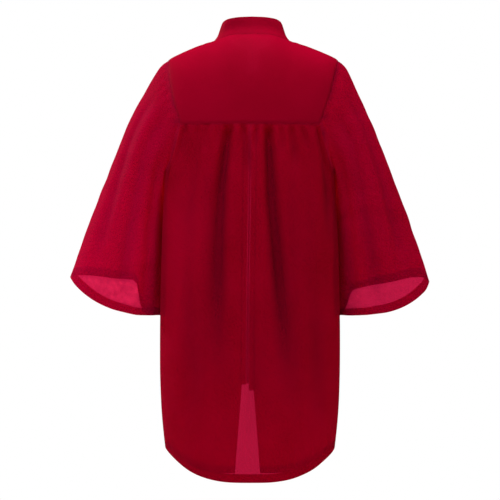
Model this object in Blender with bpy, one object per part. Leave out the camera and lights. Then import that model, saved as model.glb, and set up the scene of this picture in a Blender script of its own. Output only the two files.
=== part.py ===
# A graduation gown, worn and hollow, made as the panels that are cut and sewn: a back yoke, a gathered back
# panel, two fronts, two bell sleeves, a stand collar and a zip that ends above the hem.
# Metres, +Z up. The back of the gown faces -Y, the wearer's left is at -X. The origin is where the shoulders
# hold the gown: on the centre line, level with the points where the shoulder seams meet the collar.

import math

import bmesh
import bpy
import numpy as np
from mathutils import Matrix

# Driving dimensions
clothWall = 0.0015
collarWall = 0.0020
seamGap = 0.0003
seamRow = 0.0020          # a short first row beside a seam, so that both edges face each other squarely
neckHalf = 0.1020         # centre line to the collar seam at the shoulder
neckBack = 0.0620         # the collar seam behind the shoulder line, at the middle of the back
neckFront = 0.0800        # and in front of it
yokeLevel = -0.2137       # the straight seam under the back yoke
underarmLevel = -0.3400
hemBack = -1.1070
hemFront = -1.1150
hemSide = -1.0320
hemPower = 3.0            # how fast the hem leaves its level stretch behind and in front
bodyPower = 2.2           # of the superellipse that each level of the body follows
shoulderPower = 2.5       # of the one that each fore and aft section of the shoulders follows
armholePower = 2.4        # how fast the lower armhole leaves the side seam

# The front edges stand this far from the middle of the zip, and part below its end
zipHalfGap = 0.0155
zipEnd = -0.8900
hemHalfGap = 0.0330
openingSway = -0.0065     # the opening hangs a little to one side
sleeveClear = 0.006       # between a sleeve and the side of the body, and beside the underarm
underarmClear = 0.0030
tapeInner = 0.0036
tapeOuter = 0.0185
tapeWall = 0.0010
chainHalf = 0.0032
chainWall = 0.0024


def table(names, rows):
    """Columns by name, each as an array."""
    return dict(zip(names.split(), np.array(rows, float).T))


def curve(rows, name, at):
    """A smooth curve through one column of a table, read at a value of its first column."""
    xs = list(rows.values())[0]
    ys = rows[name]
    if xs[0] > xs[-1]:
        xs, ys = xs[::-1], ys[::-1]
    at = np.clip(at, xs[0], xs[-1])
    steps = np.diff(ys) / np.diff(xs)
    slopes = np.concatenate([[steps[0]], (steps[1:] + steps[:-1]) / 2, [steps[-1]]])
    slopes[1:-1] *= steps[1:] * steps[:-1] > 0
    i = np.clip(np.searchsorted(xs, at) - 1, 0, len(steps) - 1)
    h = xs[i + 1] - xs[i]
    t = (at - xs[i]) / h
    return (ys[i] * (1 + 2 * t) * (1 - t) ** 2 + ys[i + 1] * t * t * (3 - 2 * t)
            + h * t * (1 - t) * (slopes[i] * (1 - t) - slopes[i + 1] * t))


def smooth(t):
    t = np.clip(t, 0, 1)
    return t * t * (3 - 2 * t)


# The body at each level: half its width, and its depth behind and in front of the side seams
bodySections = table("level halfWidth backDepth frontDepth", [
    (-0.10, 0.2340, 0.115, 0.118),
    (-0.2137, 0.2320, 0.121, 0.126),
    (-0.28, 0.2225, 0.124, 0.131),
    (-0.34, 0.2180, 0.128, 0.136),
    (-0.48, 0.2235, 0.136, 0.143),
    (-0.62, 0.2275, 0.144, 0.150),
    (-0.76, 0.2295, 0.152, 0.157),
    (-0.86, 0.2285, 0.158, 0.161),
    (-0.95, 0.2245, 0.163, 0.165),
    (-1.04, 0.2150, 0.168, 0.168),
    (-1.12, 0.2030, 0.171, 0.169),
])

# The line along the top of the shoulders; inside the collar it is the crest that back and front would rise to
shoulderLine = table("across back front", [
    (0.000, 0.0360, -0.0370),
    (0.050, 0.0280, -0.0270),
    (0.102, 0.0000, 0.0000),
    (0.136, -0.0105, -0.0105),
    (0.159, -0.0195, -0.0195),
    (0.185, -0.0305, -0.0305),
    (0.207, -0.0410, -0.0410),
    (0.218, -0.0480, -0.0480),
])

# Half the width between the armholes on the way down from the shoulder (0) to the level of the yoke seam (1)
armholeEdge = table("down back front", [
    (0.00, 0.2165, 0.2165),
    (0.30, 0.2140, 0.2090),
    (0.50, 0.2100, 0.2010),
    (0.75, 0.2000, 0.1870),
    (0.90, 0.1885, 0.1760),
    (1.00, 0.1760, 0.1680),
])

# How far the shoulders and the collar stand to the wearer's right
shoulderSway = table("level aside", [
    (0.060, 0.0050),
    (0.000, 0.0050),
    (-0.045, 0.0080),
    (-0.080, 0.0050),
    (-0.120, 0.0030),
    (-0.200, 0.0005),
    (-0.212, 0.0000),
])

# Troughs that fall from the yoke seam: x at the top, a quarter down, halfway and at the foot; the levels
# between which each lies; half its width at the top and at the foot; and its depth. A depth below 0 is a ridge.
backFolds = table("top quarter half foot start end topWidth footWidth depth", [
    (-0.0530, -0.0760, -0.0830, -0.0880, -0.2137, -0.920, 0.011, 0.032, 0.0190),
    (0.0460, 0.0560, 0.0760, 0.1120, -0.2137, -1.000, 0.011, 0.032, 0.0200),
    (-0.1530, -0.1590, -0.1650, -0.1700, -0.2137, -0.330, 0.008, 0.014, 0.0080),
    (-0.1080, -0.1110, -0.1130, -0.1150, -0.2137, -0.300, 0.007, 0.012, 0.0060),
    (-0.0190, -0.0130, -0.0070, -0.0040, -0.2137, -0.390, 0.008, 0.014, 0.0085),
    (0.1030, 0.1070, 0.1120, 0.1150, -0.2137, -0.350, 0.008, 0.013, 0.0080),
    (0.1280, 0.1330, 0.1380, 0.1420, -0.2137, -0.290, 0.007, 0.011, 0.0050),
    (-0.1290, -0.1360, -0.1430, -0.1500, -0.2137, -0.560, 0.008, 0.024, 0.0050),
    (0.0180, 0.0160, 0.0130, 0.0100, -0.2137, -0.300, 0.007, 0.011, 0.0050),
    (0.0760, 0.0790, 0.0810, 0.0830, -0.2137, -0.310, 0.007, 0.011, 0.0050),
    (0.1600, 0.1690, 0.1850, 0.1950, -0.2137, -0.560, 0.009, 0.020, 0.0110),
    (-0.0800, -0.0820, -0.0830, -0.0840, -0.2137, -0.290, 0.007, 0.010, 0.0045),
    (-0.1850, -0.1880, -0.1900, -0.1900, -0.2137, -0.420, 0.014, 0.022, -0.0080),
    (-0.0250, -0.0330, -0.0400, -0.0450, -0.2300, -0.700, 0.014, 0.026, -0.0040),
    (0.0020, 0.0050, 0.0120, 0.0200, -0.6000, -1.080, 0.020, 0.030, 0.0050),
    (-0.1500, -0.1480, -0.1450, -0.1400, -0.5500, -1.060, 0.020, 0.028, 0.0060),
    (0.1700, 0.1720, 0.1730, 0.1720, -0.6400, -1.050, 0.018, 0.024, 0.0060),
])

# The fronts hang more plainly; x here is measured from the centre line outwards
frontFolds = table("top quarter half foot start end topWidth footWidth depth", [
    (0.0620, 0.0680, 0.0750, 0.0820, -0.2300, -1.090, 0.016, 0.026, 0.0090),
    (0.1080, 0.1130, 0.1200, 0.1300, -0.2500, -1.070, 0.015, 0.026, 0.0100),
    (0.1500, 0.1570, 0.1640, 0.1700, -0.3000, -1.050, 0.014, 0.024, 0.0080),
    (0.0400, 0.0420, 0.0450, 0.0480, -0.5500, -1.100, 0.014, 0.020, 0.0040),
])

# A sleeve from the armhole (0) to the cuff (1): its outer and inner outlines seen from behind, how far forward
# its middle lies, and half its depth
sleeveSections = table("along outerX outerZ innerX innerZ forward halfDepth", [
    (0.000, 0.2165, -0.0475, 0.2180, -0.3400, 0.002, 0.080),
    (0.054, 0.2400, -0.0690, 0.2180, -0.3380, 0.022, 0.086),
    (0.151, 0.2715, -0.1224, 0.2120, -0.3700, 0.042, 0.090),
    (0.291, 0.3100, -0.1989, 0.2130, -0.4250, 0.052, 0.092),
    (0.427, 0.3415, -0.2754, 0.2140, -0.4800, 0.057, 0.092),
    (0.563, 0.3715, -0.3519, 0.2150, -0.5350, 0.058, 0.090),
    (0.699, 0.4015, -0.4284, 0.2150, -0.5870, 0.061, 0.086),
    (0.834, 0.4305, -0.5049, 0.2160, -0.6380, 0.062, 0.080),
    (1.000, 0.4620, -0.6000, 0.2180, -0.6990, 0.062, 0.072),
])

# How far down a sleeve each row of its faces lies
sleeveRows = (0.022, 0.05, 0.09, 0.14, 0.20, 0.275, 0.36, 0.45, 0.54, 0.63, 0.72, 0.81, 0.90, 0.965, 1.0)

# The hem of each cuff, from its inner end (-1) to its outer end (1), on the near side (back) and the far side
cuffHems = table("across nearLeft farLeft nearRight farRight", [
    (-1.00, -0.6980, -0.6980, -0.6980, -0.6980),
    (-0.66, -0.6980, -0.6820, -0.6980, -0.6870),
    (-0.50, -0.6965, -0.6500, -0.6970, -0.6650),
    (-0.34, -0.6940, -0.6130, -0.6955, -0.6350),
    (0.10, -0.6800, -0.6040, -0.6880, -0.6160),
    (0.40, -0.6640, -0.5990, -0.6760, -0.6080),
    (0.60, -0.6490, -0.5960, -0.6630, -0.6020),
    (0.79, -0.6310, -0.5950, -0.6460, -0.6000),
    (0.93, -0.6140, -0.5970, -0.6290, -0.6030),
    (1.00, -0.6000, -0.6000, -0.6110, -0.6110),
])

# Troughs along a sleeve: the turn from its outer edge over the back (in degrees) at the armhole and at the
# cuff, the stretch it covers, half its width in degrees, and its depth
sleeveFolds = table("top foot start end halfWidth depth", [
    (38, 52, 0.06, 0.80, 10, 0.0075),
    (74, 96, 0.03, 0.96, 11, 0.0085),
    (112, 128, 0.10, 0.98, 11, 0.0080),
    (150, 150, 0.25, 1.00, 10, 0.0060),
    (236, 226, 0.12, 1.00, 12, 0.0080),
    (276, 268, 0.05, 0.97, 12, 0.0085),
    (318, 312, 0.08, 0.85, 11, 0.0070),
])

# The upper edge of the collar round the neck: the turn from the middle of the front in degrees, and its place
collarTop = table("turn across depth level", [
    (8, 0.0125, 0.0680, -0.0150),
    (35, 0.0480, 0.0560, -0.0010),
    (65, 0.0710, 0.0290, 0.0220),
    (90, 0.0765, -0.0040, 0.0420),
    (120, 0.0655, -0.0330, 0.0535),
    (150, 0.0375, -0.0480, 0.0585),
    (180, 0.0000, -0.0520, 0.0600),
])


def frontCentre(z):
    return openingSway * smooth((-0.2 - z) / 0.6)


def frontEdge(hand, z):
    """How far from the centre line the edge of a front stands. hand is 1 for the front at +X, -1 for the other."""
    parted = np.clip((zipEnd - z) / (zipEnd - hemFront), 0, 1)
    return zipHalfGap + (hemHalfGap - zipHalfGap) * parted + hand * frontCentre(z)


def foldDepth(folds, x, z):
    """How far the troughs of a table press the cloth in at a place."""
    total = 0.0
    for top, quarter, half, foot, start, end, topWidth, footWidth, depth in zip(*folds.values()):
        t = np.clip((start - z) / (start - end), 0, 1)
        path = np.interp(t, (0, 0.25, 0.5, 1), (top, quarter, half, foot))
        r = (x - path) / (topWidth + (footWidth - topWidth) * t)
        reach = smooth((1 - t) / 0.55)
        if start != yokeLevel:
            reach = reach * smooth((start - z) / 0.15)
        total = total + depth * (1 - 0.45 * r * r) * np.exp(-0.6 * r * r) * reach
    return total


def halfAndDepth(side, z):
    depth = "backDepth" if side < 0 else "frontDepth"
    return curve(bodySections, "halfWidth", z), curve(bodySections, depth, z)


def topLevel(side, angle):
    """The upper edge of the body under the yoke seam: level between the armholes, falling round them outside."""
    corner = angleAt(side, armholeEdge["back" if side < 0 else "front"][-1], yokeLevel)
    fromSide = np.minimum(np.minimum(angle, math.pi - angle) / corner, 1)
    return underarmLevel + (yokeLevel - underarmLevel) * fromSide ** armholePower


def bodyPoint(side, angle, z):
    """A point of the body's cloth. angle runs from 0 at the +X side seam, over pi / 2 at the middle, to pi. The
    folds fade out towards the seams and, on a front, towards the zip."""
    half, deep = halfAndDepth(side, z)
    c, s = np.cos(angle), np.sin(angle)
    x = half * np.sign(c) * np.abs(c) ** (2 / bodyPower)
    y = side * deep * np.abs(s) ** (2 / bodyPower)
    normal = np.stack([c / half, side * s / deep])
    normal = normal / np.linalg.norm(normal, axis=0)
    press = foldDepth(backFolds, x, z) if side < 0 else foldDepth(frontFolds, np.abs(x), z)
    press = press * smooth(np.abs(s) / 0.25) * smooth((topLevel(side, angle) - z) / 0.025)
    if side > 0:
        press = press * smooth((np.abs(x) - 0.026) / 0.02)
    return np.stack([x - normal[0] * press, y - normal[1] * press, z + 0 * x], -1)


def angleAt(side, x, z):
    """The angle at which the body is x from the centre line."""
    return np.arccos((np.abs(x) / halfAndDepth(side, z)[0]) ** (bodyPower / 2))


def hemLevel(side, angle):
    lowest = hemBack if side < 0 else hemFront
    return lowest + (hemSide - lowest) * np.abs(np.cos(angle)) ** hemPower


def shoulderPoint(side, x, turn):
    """A point above the yoke seam's level. turn runs from 0 on the shoulder line to pi / 2 at that level."""
    half, deep = halfAndDepth(side, yokeLevel)
    deep = deep * (1 - (np.abs(x) / half) ** bodyPower) ** (1 / bodyPower)
    crest = curve(shoulderLine, "back" if side < 0 else "front", np.abs(x))
    y = side * deep * np.sin(turn) ** (2 / shoulderPower)
    z = crest - (crest - yokeLevel) * (1 - np.cos(turn) ** (2 / shoulderPower))
    return np.stack([x + 0 * z, y, z], -1)


def neckTurn(side, x):
    """The turn at which a column of the shoulders meets the collar seam, or 0 beyond the collar."""
    half, deep = halfAndDepth(side, yokeLevel)
    deep = deep * (1 - (np.abs(x) / half) ** bodyPower) ** (1 / bodyPower)
    reach = (neckBack if side < 0 else neckFront) * np.sqrt(np.clip(1 - (x / neckHalf) ** 2, 0, 1))
    return np.arcsin((reach / deep) ** (shoulderPower / 2))


def swayed(points):
    """The shoulders and the collar lean a little to the wearer's right."""
    points = points.copy()
    points[..., 0] += curve(shoulderSway, "aside", points[..., 2])
    return points


def unit(v):
    return v / np.maximum(np.linalg.norm(v, axis=-1, keepdims=True), 1e-12)


def cellsOf(rows, columns, keep=None, closed=False):
    """The four-sided cells of a grid of points, as indices."""
    index = np.arange(rows * columns).reshape(rows, columns)
    if closed:
        index = np.concatenate([index, index[:, :1]], 1)
    cells = np.stack([index[:-1, :-1], index[1:, :-1], index[1:, 1:], index[:-1, 1:]], -1)
    return cells.reshape(-1, 4) if keep is None else cells[keep]


def trianglesOf(cells):
    return np.concatenate([cells[:, [0, 1, 2]], cells[:, [0, 2, 3]]])


def normalsOf(points, triangles):
    a, b, c = points[triangles].transpose(1, 0, 2)
    faces = np.cross(b - a, c - a)
    normals = np.zeros_like(points)
    for k in range(3):
        np.add.at(normals, triangles[:, k], faces)
    return unit(normals)


def panelOf(points, keep=None, closed=False, inside=(0, 0, -0.5), first=None):
    """The outer face of a piece of cloth: its points, its cells turned outwards, and its normals. first holds
    the normals of the first row where that row faces the edge of another piece."""
    rows, columns = points.shape[:2]
    flat = points.reshape(-1, 3)
    cells = cellsOf(rows, columns, keep, closed)
    normals = normalsOf(flat, trianglesOf(cells))
    if ((flat - np.broadcast_to(inside, points.shape).reshape(-1, 3)) * normals)[:, :2].sum() < 0:
        cells = cells[:, ::-1]
        normals = -normals
    if first is not None:
        normals[:columns] = first
    return {"points": flat, "cells": cells, "normals": normals, "shape": (rows, columns)}


def edgeOf(panel, edge, inner):
    """Along an edge of a panel, given by (row, column) pairs and by those beside them: the points, the normals,
    and the directions in which the cloth would go on."""
    columns = panel["shape"][1]
    at = [r * columns + c for r, c in edge]
    points = panel["points"][at]
    normals = panel["normals"][at]
    away = points - panel["points"][[r * columns + c for r, c in inner]]
    along = unit(np.gradient(points, axis=0))
    away = away - (away * along).sum(-1, keepdims=True) * along
    away = away - (away * normals).sum(-1, keepdims=True) * normals
    return points, normals, unit(away)


def joined(edges):
    """Edges end to end as one, with the two points at each seam made one between them, a little off both."""
    points, normals, away = [[np.array(e[k]) for e in edges] for k in range(3)]
    for kind in (points, normals, away):
        for i in range(len(kind) - 1):
            middle = (kind[i][-1] + kind[i + 1][0]) / 2
            if kind is points:
                middle = middle + unit(away[i][-1] + away[i + 1][0]) * 0.0003
            kind[i] = kind[i][:-1]
            kind[i + 1][0] = middle
    return np.concatenate(points), unit(np.concatenate(normals)), unit(np.concatenate(away))


def addMesh(name, points, faces, material):
    mesh = bpy.data.meshes.new(name)
    mesh.from_pydata(points.tolist(), [], [list(map(int, f)) for f in faces])
    mesh.materials.append(material)
    obj = bpy.data.objects.new(name, mesh)
    gown.objects.link(obj)
    return obj


def addWall(name, panel, wall, material):
    """A piece of cloth: its outer face, an inner face one wall inside it, and the cut edges between them."""
    outer = trianglesOf(panel["cells"])
    points = np.concatenate([panel["points"], panel["points"] - wall * panel["normals"]])
    count = len(panel["points"])
    sides = np.concatenate([outer[:, [0, 1]], outer[:, [1, 2]], outer[:, [2, 0]]])
    both = set(map(tuple, sides))
    rim = np.array([(a, b) for a, b in sides if (b, a) not in both])
    a, b = rim.T
    faces = np.concatenate([
        outer,
        outer[:, ::-1] + count,
        np.stack([b, a, a + count], -1),
        np.stack([b, a + count, b + count], -1),
    ])
    used, faces = np.unique(faces, return_inverse=True)
    return addMesh(name, points[used], faces.reshape(-1, 3), material)


def materialOf(name, colour, roughness, metallic=0.0):
    material = bpy.data.materials.new(name)
    material.use_nodes = True
    shader = material.node_tree.nodes["Principled BSDF"]
    shader.inputs["Base Color"].default_value = (*colour, 1)
    shader.inputs["Roughness"].default_value = roughness
    shader.inputs["Metallic"].default_value = metallic
    material.diffuse_color = (*colour, 1)
    return material


def rowSteps(count):
    """Steps from 0 to 1 that are closer together at the start."""
    t = np.linspace(0, 1, count)
    return t * (0.55 + 0.45 * t)


def columnDown(side, angles, tops, rows):
    """Rows of points from the top of each column to the hem, with a short first row."""
    hem = hemLevel(side, angles)
    first = tops - seamRow
    levels = first + (hem - first) * rowSteps(rows)[:, None]
    return np.concatenate([tops[None], levels])


def backPanel():
    corner = angleAt(-1, armholeEdge["back"][-1], yokeLevel)
    between = angleAt(-1, np.linspace(armholeEdge["back"][-1], 0, 31), yokeLevel)
    quarter = np.concatenate([np.linspace(0, corner, 10)[:-1], between])
    angles = np.concatenate([quarter, math.pi - quarter[-2::-1]])
    levels = columnDown(-1, angles, topLevel(-1, angles) - seamGap / 2, 17)
    points = bodyPoint(-1, np.broadcast_to(angles, levels.shape), levels)
    points[..., 1] -= seamGap / 2
    return panelOf(points), len(angles), 9


def yokePanel():
    wide = np.linspace(armholeEdge["back"][0], neckHalf, 7)
    narrow = neckHalf * np.cos(np.linspace(0, math.pi / 2, 8))[1:]
    tops = np.concatenate([wide, narrow, -narrow[-2::-1], -wide[::-1]])
    turns = neckTurn(-1, tops)
    down = np.concatenate([[0, 0.05], np.linspace(0.14, 0.97, 8), [1]])[:, None]
    width = curve(armholeEdge, "back", down) / armholeEdge["back"][0]
    x = tops * width
    points = shoulderPoint(-1, x, turns + (math.pi / 2 - turns) * down)
    points[..., 2] += seamGap / 2
    points[..., 1] -= seamGap / 2
    return panelOf(swayed(points), inside=(0, 0, -0.2)), len(tops), len(down), 6


def frontPanel(hand):
    """One front, as a grid that lacks the cells where the armhole is. hand is 1 for the wearer's right."""
    armhole = armholeEdge["front"]
    edgeTop = frontEdge(hand, 0.0)
    wide = np.linspace(armhole[0], neckHalf, 7)[:-1]
    fade = np.linspace(0, 1, 9)
    narrow = neckHalf + (edgeTop - neckHalf) * np.sin(fade * math.pi / 2) ** 1.2
    tops = np.concatenate([wide, narrow])
    across = (armhole[0] - tops) / (armhole[0] - edgeTop)
    turns = neckTurn(1, tops)
    down = np.concatenate([[0, 0.05], np.linspace(0.16, 0.95, 8)])[:, None]
    width = curve(armholeEdge, "front", down)
    x = width - (width - edgeTop) * across
    upper = shoulderPoint(1, x, turns + (math.pi / 2 - turns) * down)

    corner = angleAt(1, armhole[-1], yokeLevel)
    atYoke = angleAt(1, armhole[-1] - (armhole[-1] - edgeTop) * across, yokeLevel)
    sides = np.linspace(0, corner, 10)[:-1]
    angles = np.concatenate([sides, atYoke])
    levels = columnDown(1, angles, topLevel(1, angles), 15)
    edgeAngle = angleAt(1, frontEdge(hand, levels), levels)
    lower = bodyPoint(1, angles / angles[-1] * edgeAngle, levels)
    count, skipped = len(down), len(sides)
    points = np.zeros((count + len(levels), len(angles), 3))
    points[:count, skipped:] = upper
    points[count:] = lower
    points[..., 1] += seamGap / 2
    points[:, :, 0] *= hand
    points[:count, :skipped] = points[count, :skipped]
    keep = np.ones((len(points) - 1, len(angles) - 1), bool)
    keep[:count, :skipped] = False
    return panelOf(swayed(points), keep), count, skipped, len(wide), len(angles)


def sleeveRing(hand, yoke, back, front):
    """The armhole from the shoulder over the back and the underarm to the front, as an edge to go on from."""
    yokeGrid, yokeColumns, yokeRows, _ = yoke
    backGrid, backColumns, corner = back
    frontGrid, count, skipped, _, _ = front
    outer, beside = (0, 1) if hand > 0 else (yokeColumns - 1, yokeColumns - 2)
    rows = range(yokeRows)
    behind = edgeOf(yokeGrid, [(r, outer) for r in rows], [(r, beside) for r in rows])
    order = [c if hand > 0 else backColumns - 1 - c for c in range(corner, -1, -1)]
    lowBack = edgeOf(backGrid, [(0, c) for c in order], [(1, c) for c in order])
    order = range(skipped + 1)
    lowFront = edgeOf(frontGrid, [(count, c) for c in order], [(count + 1, c) for c in order])
    rows = range(count, -1, -1)
    highFront = edgeOf(frontGrid, [(r, skipped) for r in rows], [(r, skipped + 1) for r in rows])
    points, normals, away = joined([behind, lowBack, lowFront, highFront, [e[:1] for e in behind]])
    return points[:-1], normals[:-1], away[:-1]


def clearOfBody(points, margin):
    """Points of a sleeve moved out from the body, where they are nearer to it than the margin."""
    points = points.copy()
    side = np.where(points[..., 1] < 0, -1, 1)
    margin = underarmClear + (margin - underarmClear) * smooth((-0.38 - points[..., 2]) / 0.10)
    half = curve(bodySections, "halfWidth", points[..., 2]) + margin
    deep = np.where(side < 0, curve(bodySections, "backDepth", points[..., 2]),
                    curve(bodySections, "frontDepth", points[..., 2])) + margin
    inward = np.clip(1 - (np.abs(points[..., 1]) / deep) ** bodyPower, 0, 1)
    least = half * inward ** (1 / bodyPower)
    low = smooth((-0.30 - points[..., 2]) / 0.05)
    x = np.abs(points[..., 0])
    points[..., 0] = np.sign(points[..., 0]) * (x + low * np.maximum(least - x, 0))
    return points


def sleeveSection(along, turn):
    """The plain form of a sleeve, from its outer edge over the back (0 to pi) and on over the front."""
    outer = np.stack([curve(sleeveSections, "outerX", along), curve(sleeveSections, "outerZ", along)], -1)
    inner = np.stack([curve(sleeveSections, "innerX", along), curve(sleeveSections, "innerZ", along)], -1)
    flat = (outer + inner) / 2 + (outer - inner) / 2 * np.cos(turn)[..., None]
    y = curve(sleeveSections, "forward", along) - curve(sleeveSections, "halfDepth", along) * np.sin(turn)
    return np.stack([flat[..., 0], y, flat[..., 1]], -1)


def sleevePanel(hand, ring):
    points, normals, away = ring
    count = len(points)
    under = int(np.argmin(points[:, 2]))
    steps = np.linalg.norm(np.roll(points, -1, 0) - points, axis=1)
    length = np.concatenate([[0], np.cumsum(steps)])
    down = length[:-1] / length[under]
    up = (length[:-1] - length[under]) / (length[-1] - length[under])
    turn = np.where(np.arange(count) <= under, down, 1 + up) * math.pi

    mirrored = points * [hand, 1, 1]
    along = np.array(sleeveRows)[:, None]
    shape = sleeveSection(along, turn[None])
    apart = mirrored[None] - sleeveSection(np.zeros((1, 1)), turn[None])
    shape = shape + apart * np.exp(-(along[..., None] / 0.16) ** 2)
    shape = shape + (away * [hand, 1, 1])[None] * (0.010 * np.exp(-(along[..., None] / 0.05) ** 2))

    degrees = np.degrees(turn)[None]
    press = 0.0
    for top, foot, start, end, halfWidth, depth in zip(*sleeveFolds.values()):
        r = (degrees - (top + (foot - top) * along)) / halfWidth
        reach = smooth((along - start) / 0.15) * smooth((end + 0.12 - along) / 0.25)
        press = press + depth * (1 - 0.45 * r * r) * np.exp(-0.6 * r * r) * reach
    middle = shape.mean(1, keepdims=True)
    shape = shape - unit(shape - middle) * press[..., None]

    sideName = "Right" if hand > 0 else "Left"
    c = np.cos(turn)
    near = curve(cuffHems, "near" + sideName, c)
    hem = np.where(turn <= math.pi, near, curve(cuffHems, "far" + sideName, c))
    shift = (hem - sleeveSection(np.ones((1, 1)), turn[None])[0, :, 2]) * smooth((along - 0.45) / 0.55)
    shape[..., 2] += shift
    shape[..., 0] *= hand
    shape = clearOfBody(shape, sleeveClear)
    start = points + away * seamGap
    rows = np.concatenate([start[None], (points + away * (seamGap + seamRow))[None], shape])
    return panelOf(rows, closed=True, inside=rows.mean(1, keepdims=True), first=normals)


def collarPanel(yoke, fronts):
    yokeGrid, yokeColumns, _, wide = yoke
    edges = []
    for hand in (-1, 1):
        grid, count, skipped, shoulder, columns = fronts[hand]
        order = range(skipped + shoulder, columns)[::hand]
        edges.append(edgeOf(grid, [(0, c) for c in order], [(1, c) for c in order]))
    order = range(yokeColumns - 1 - wide, wide - 1, -1)
    edges.insert(1, edgeOf(yokeGrid, [(0, c) for c in order], [(1, c) for c in order]))
    points, normals, away = joined(edges)
    forward = points[:, 1] / np.where(points[:, 1] > 0, neckFront, neckBack)
    turn = np.degrees(np.arctan2(np.abs(points[:, 0]) / neckHalf, forward))
    place = [curve(collarTop, k, turn) for k in ("across", "depth", "level")]
    top = swayed(np.stack([np.sign(points[:, 0]) * place[0], place[1], place[2]], -1))
    start = points + away * (seamGap + seamRow)
    t = np.array([0.18, 0.45, 0.72, 1.0])[:, None, None]
    rise = start + (top - start) * t + away * 0.010 * (t * (1 - t) ** 2 * 3)
    rows = np.concatenate([(points + away * seamGap)[None], start[None], rise])
    return panelOf(rows, inside=(0, 0, 0), first=normals)


def frontLine(z, aside=0.0):
    """Down the front, at a distance aside from the middle of the zip: a point of the cloth's outer face and its
    normal at each level."""
    turns = np.linspace(neckTurn(1, aside), math.pi / 2, 60)
    high = shoulderPoint(1, np.full(60, aside), turns)
    low = np.linspace(yokeLevel, hemFront, 80)[1:]
    half, deep = halfAndDepth(1, low)
    x = frontCentre(low) + aside
    y = deep * (1 - (np.abs(x) / half) ** bodyPower) ** (1 / bodyPower)
    path = np.concatenate([high, np.stack([x, y, low], -1)])[::-1]
    y = np.interp(z, path[:, 2], path[:, 1])
    slope = np.interp(z, path[:, 2], np.gradient(path[:, 1], path[:, 2]))
    normal = unit(np.stack([0 * z, 1 + 0 * z, -slope], -1))
    return np.stack([frontCentre(z) + aside, y, z], -1), normal


def strip(name, levels, left, right, outside, wall, material):
    """A flat strip down the front, between two distances from the middle of the zip."""
    sides = [frontLine(levels, aside) for aside in (left, right)]
    points = np.stack([middle + normal * outside for middle, normal in sides], 1)
    addWall(name, panelOf(points, inside=(0, 0, -0.5)), wall, material)


def box(bm, size, centre):
    bmesh.ops.create_cube(bm, size=1, matrix=Matrix.Translation(centre) @ Matrix.Diagonal((*size, 1)))


def joinedSolid(name, pieces, place, material):
    """Boxes made one solid, then put in place."""
    made = []
    for i, (size, centre) in enumerate(pieces):
        bm = bmesh.new()
        box(bm, size, centre)
        mesh = bpy.data.meshes.new(f"{name}{i}")
        bm.to_mesh(mesh)
        bm.free()
        made.append(bpy.data.objects.new(name if i == 0 else f"{name}_{i}", mesh))
        gown.objects.link(made[-1])
    body = made[0]
    for other in made[1:]:
        modifier = body.modifiers.new("join", "BOOLEAN")
        modifier.operation = "UNION"
        modifier.solver = "EXACT"
        modifier.object = other
        other.hide_render = True
        other.hide_set(True)
    bpy.context.view_layer.update()
    whole = bpy.data.meshes.new_from_object(body.evaluated_get(bpy.context.evaluated_depsgraph_get()))
    body.modifiers.clear()
    body.data = whole
    body.matrix_world = place
    whole.materials.clear()
    whole.materials.append(material)
    for other in made[1:]:
        bpy.data.objects.remove(other)
    return body


for old in list(bpy.data.objects):
    bpy.data.objects.remove(old)
gown = bpy.data.collections.new("GraduationGown")
bpy.context.scene.collection.children.link(gown)

crimson = materialOf("crimson_polyester", (0.215, 0.003, 0.016), 0.62)
tapeRed = materialOf("zip_tape", (0.120, 0.002, 0.010), 0.80)
nylonRed = materialOf("zip_coil", (0.150, 0.003, 0.013), 0.42)
nickel = materialOf("nickel", (0.62, 0.60, 0.56), 0.30, 1.0)

yoke = yokePanel()
back = backPanel()
fronts = {hand: frontPanel(hand) for hand in (1, -1)}
addWall("back_yoke", yoke[0], clothWall, crimson)
addWall("back_panel", back[0], clothWall, crimson)
addWall("front_left", fronts[-1][0], clothWall, crimson)
addWall("front_right", fronts[1][0], clothWall, crimson)
addWall("collar", collarPanel(yoke, fronts), collarWall, crimson)
for hand, name in ((-1, "sleeve_left"), (1, "sleeve_right")):
    addWall(name, sleevePanel(hand, sleeveRing(hand, yoke, back, fronts[hand])), clothWall, crimson)

tapeTop = -0.0700
behind = -(clothWall + seamGap)
for name, sign, foot in (("zip_tape_left", -1, -0.8823), ("zip_tape_right", 1, -0.8976)):
    levels = np.concatenate([np.linspace(tapeTop, -0.24, 13), np.linspace(-0.24, foot, 11)[1:]])
    ends = sorted((sign * tapeInner, sign * tapeOuter))
    strip(name, levels, *ends, behind, tapeWall, tapeRed)
chainTop = tapeTop - 0.004
chainFoot = -0.8790
levels = np.concatenate([np.linspace(chainTop, -0.24, 13), np.linspace(-0.24, chainFoot, 11)[1:]])
strip("zip_chain", levels, -chainHalf, chainHalf, behind + 0.0007, chainWall, nylonRed)

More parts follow.
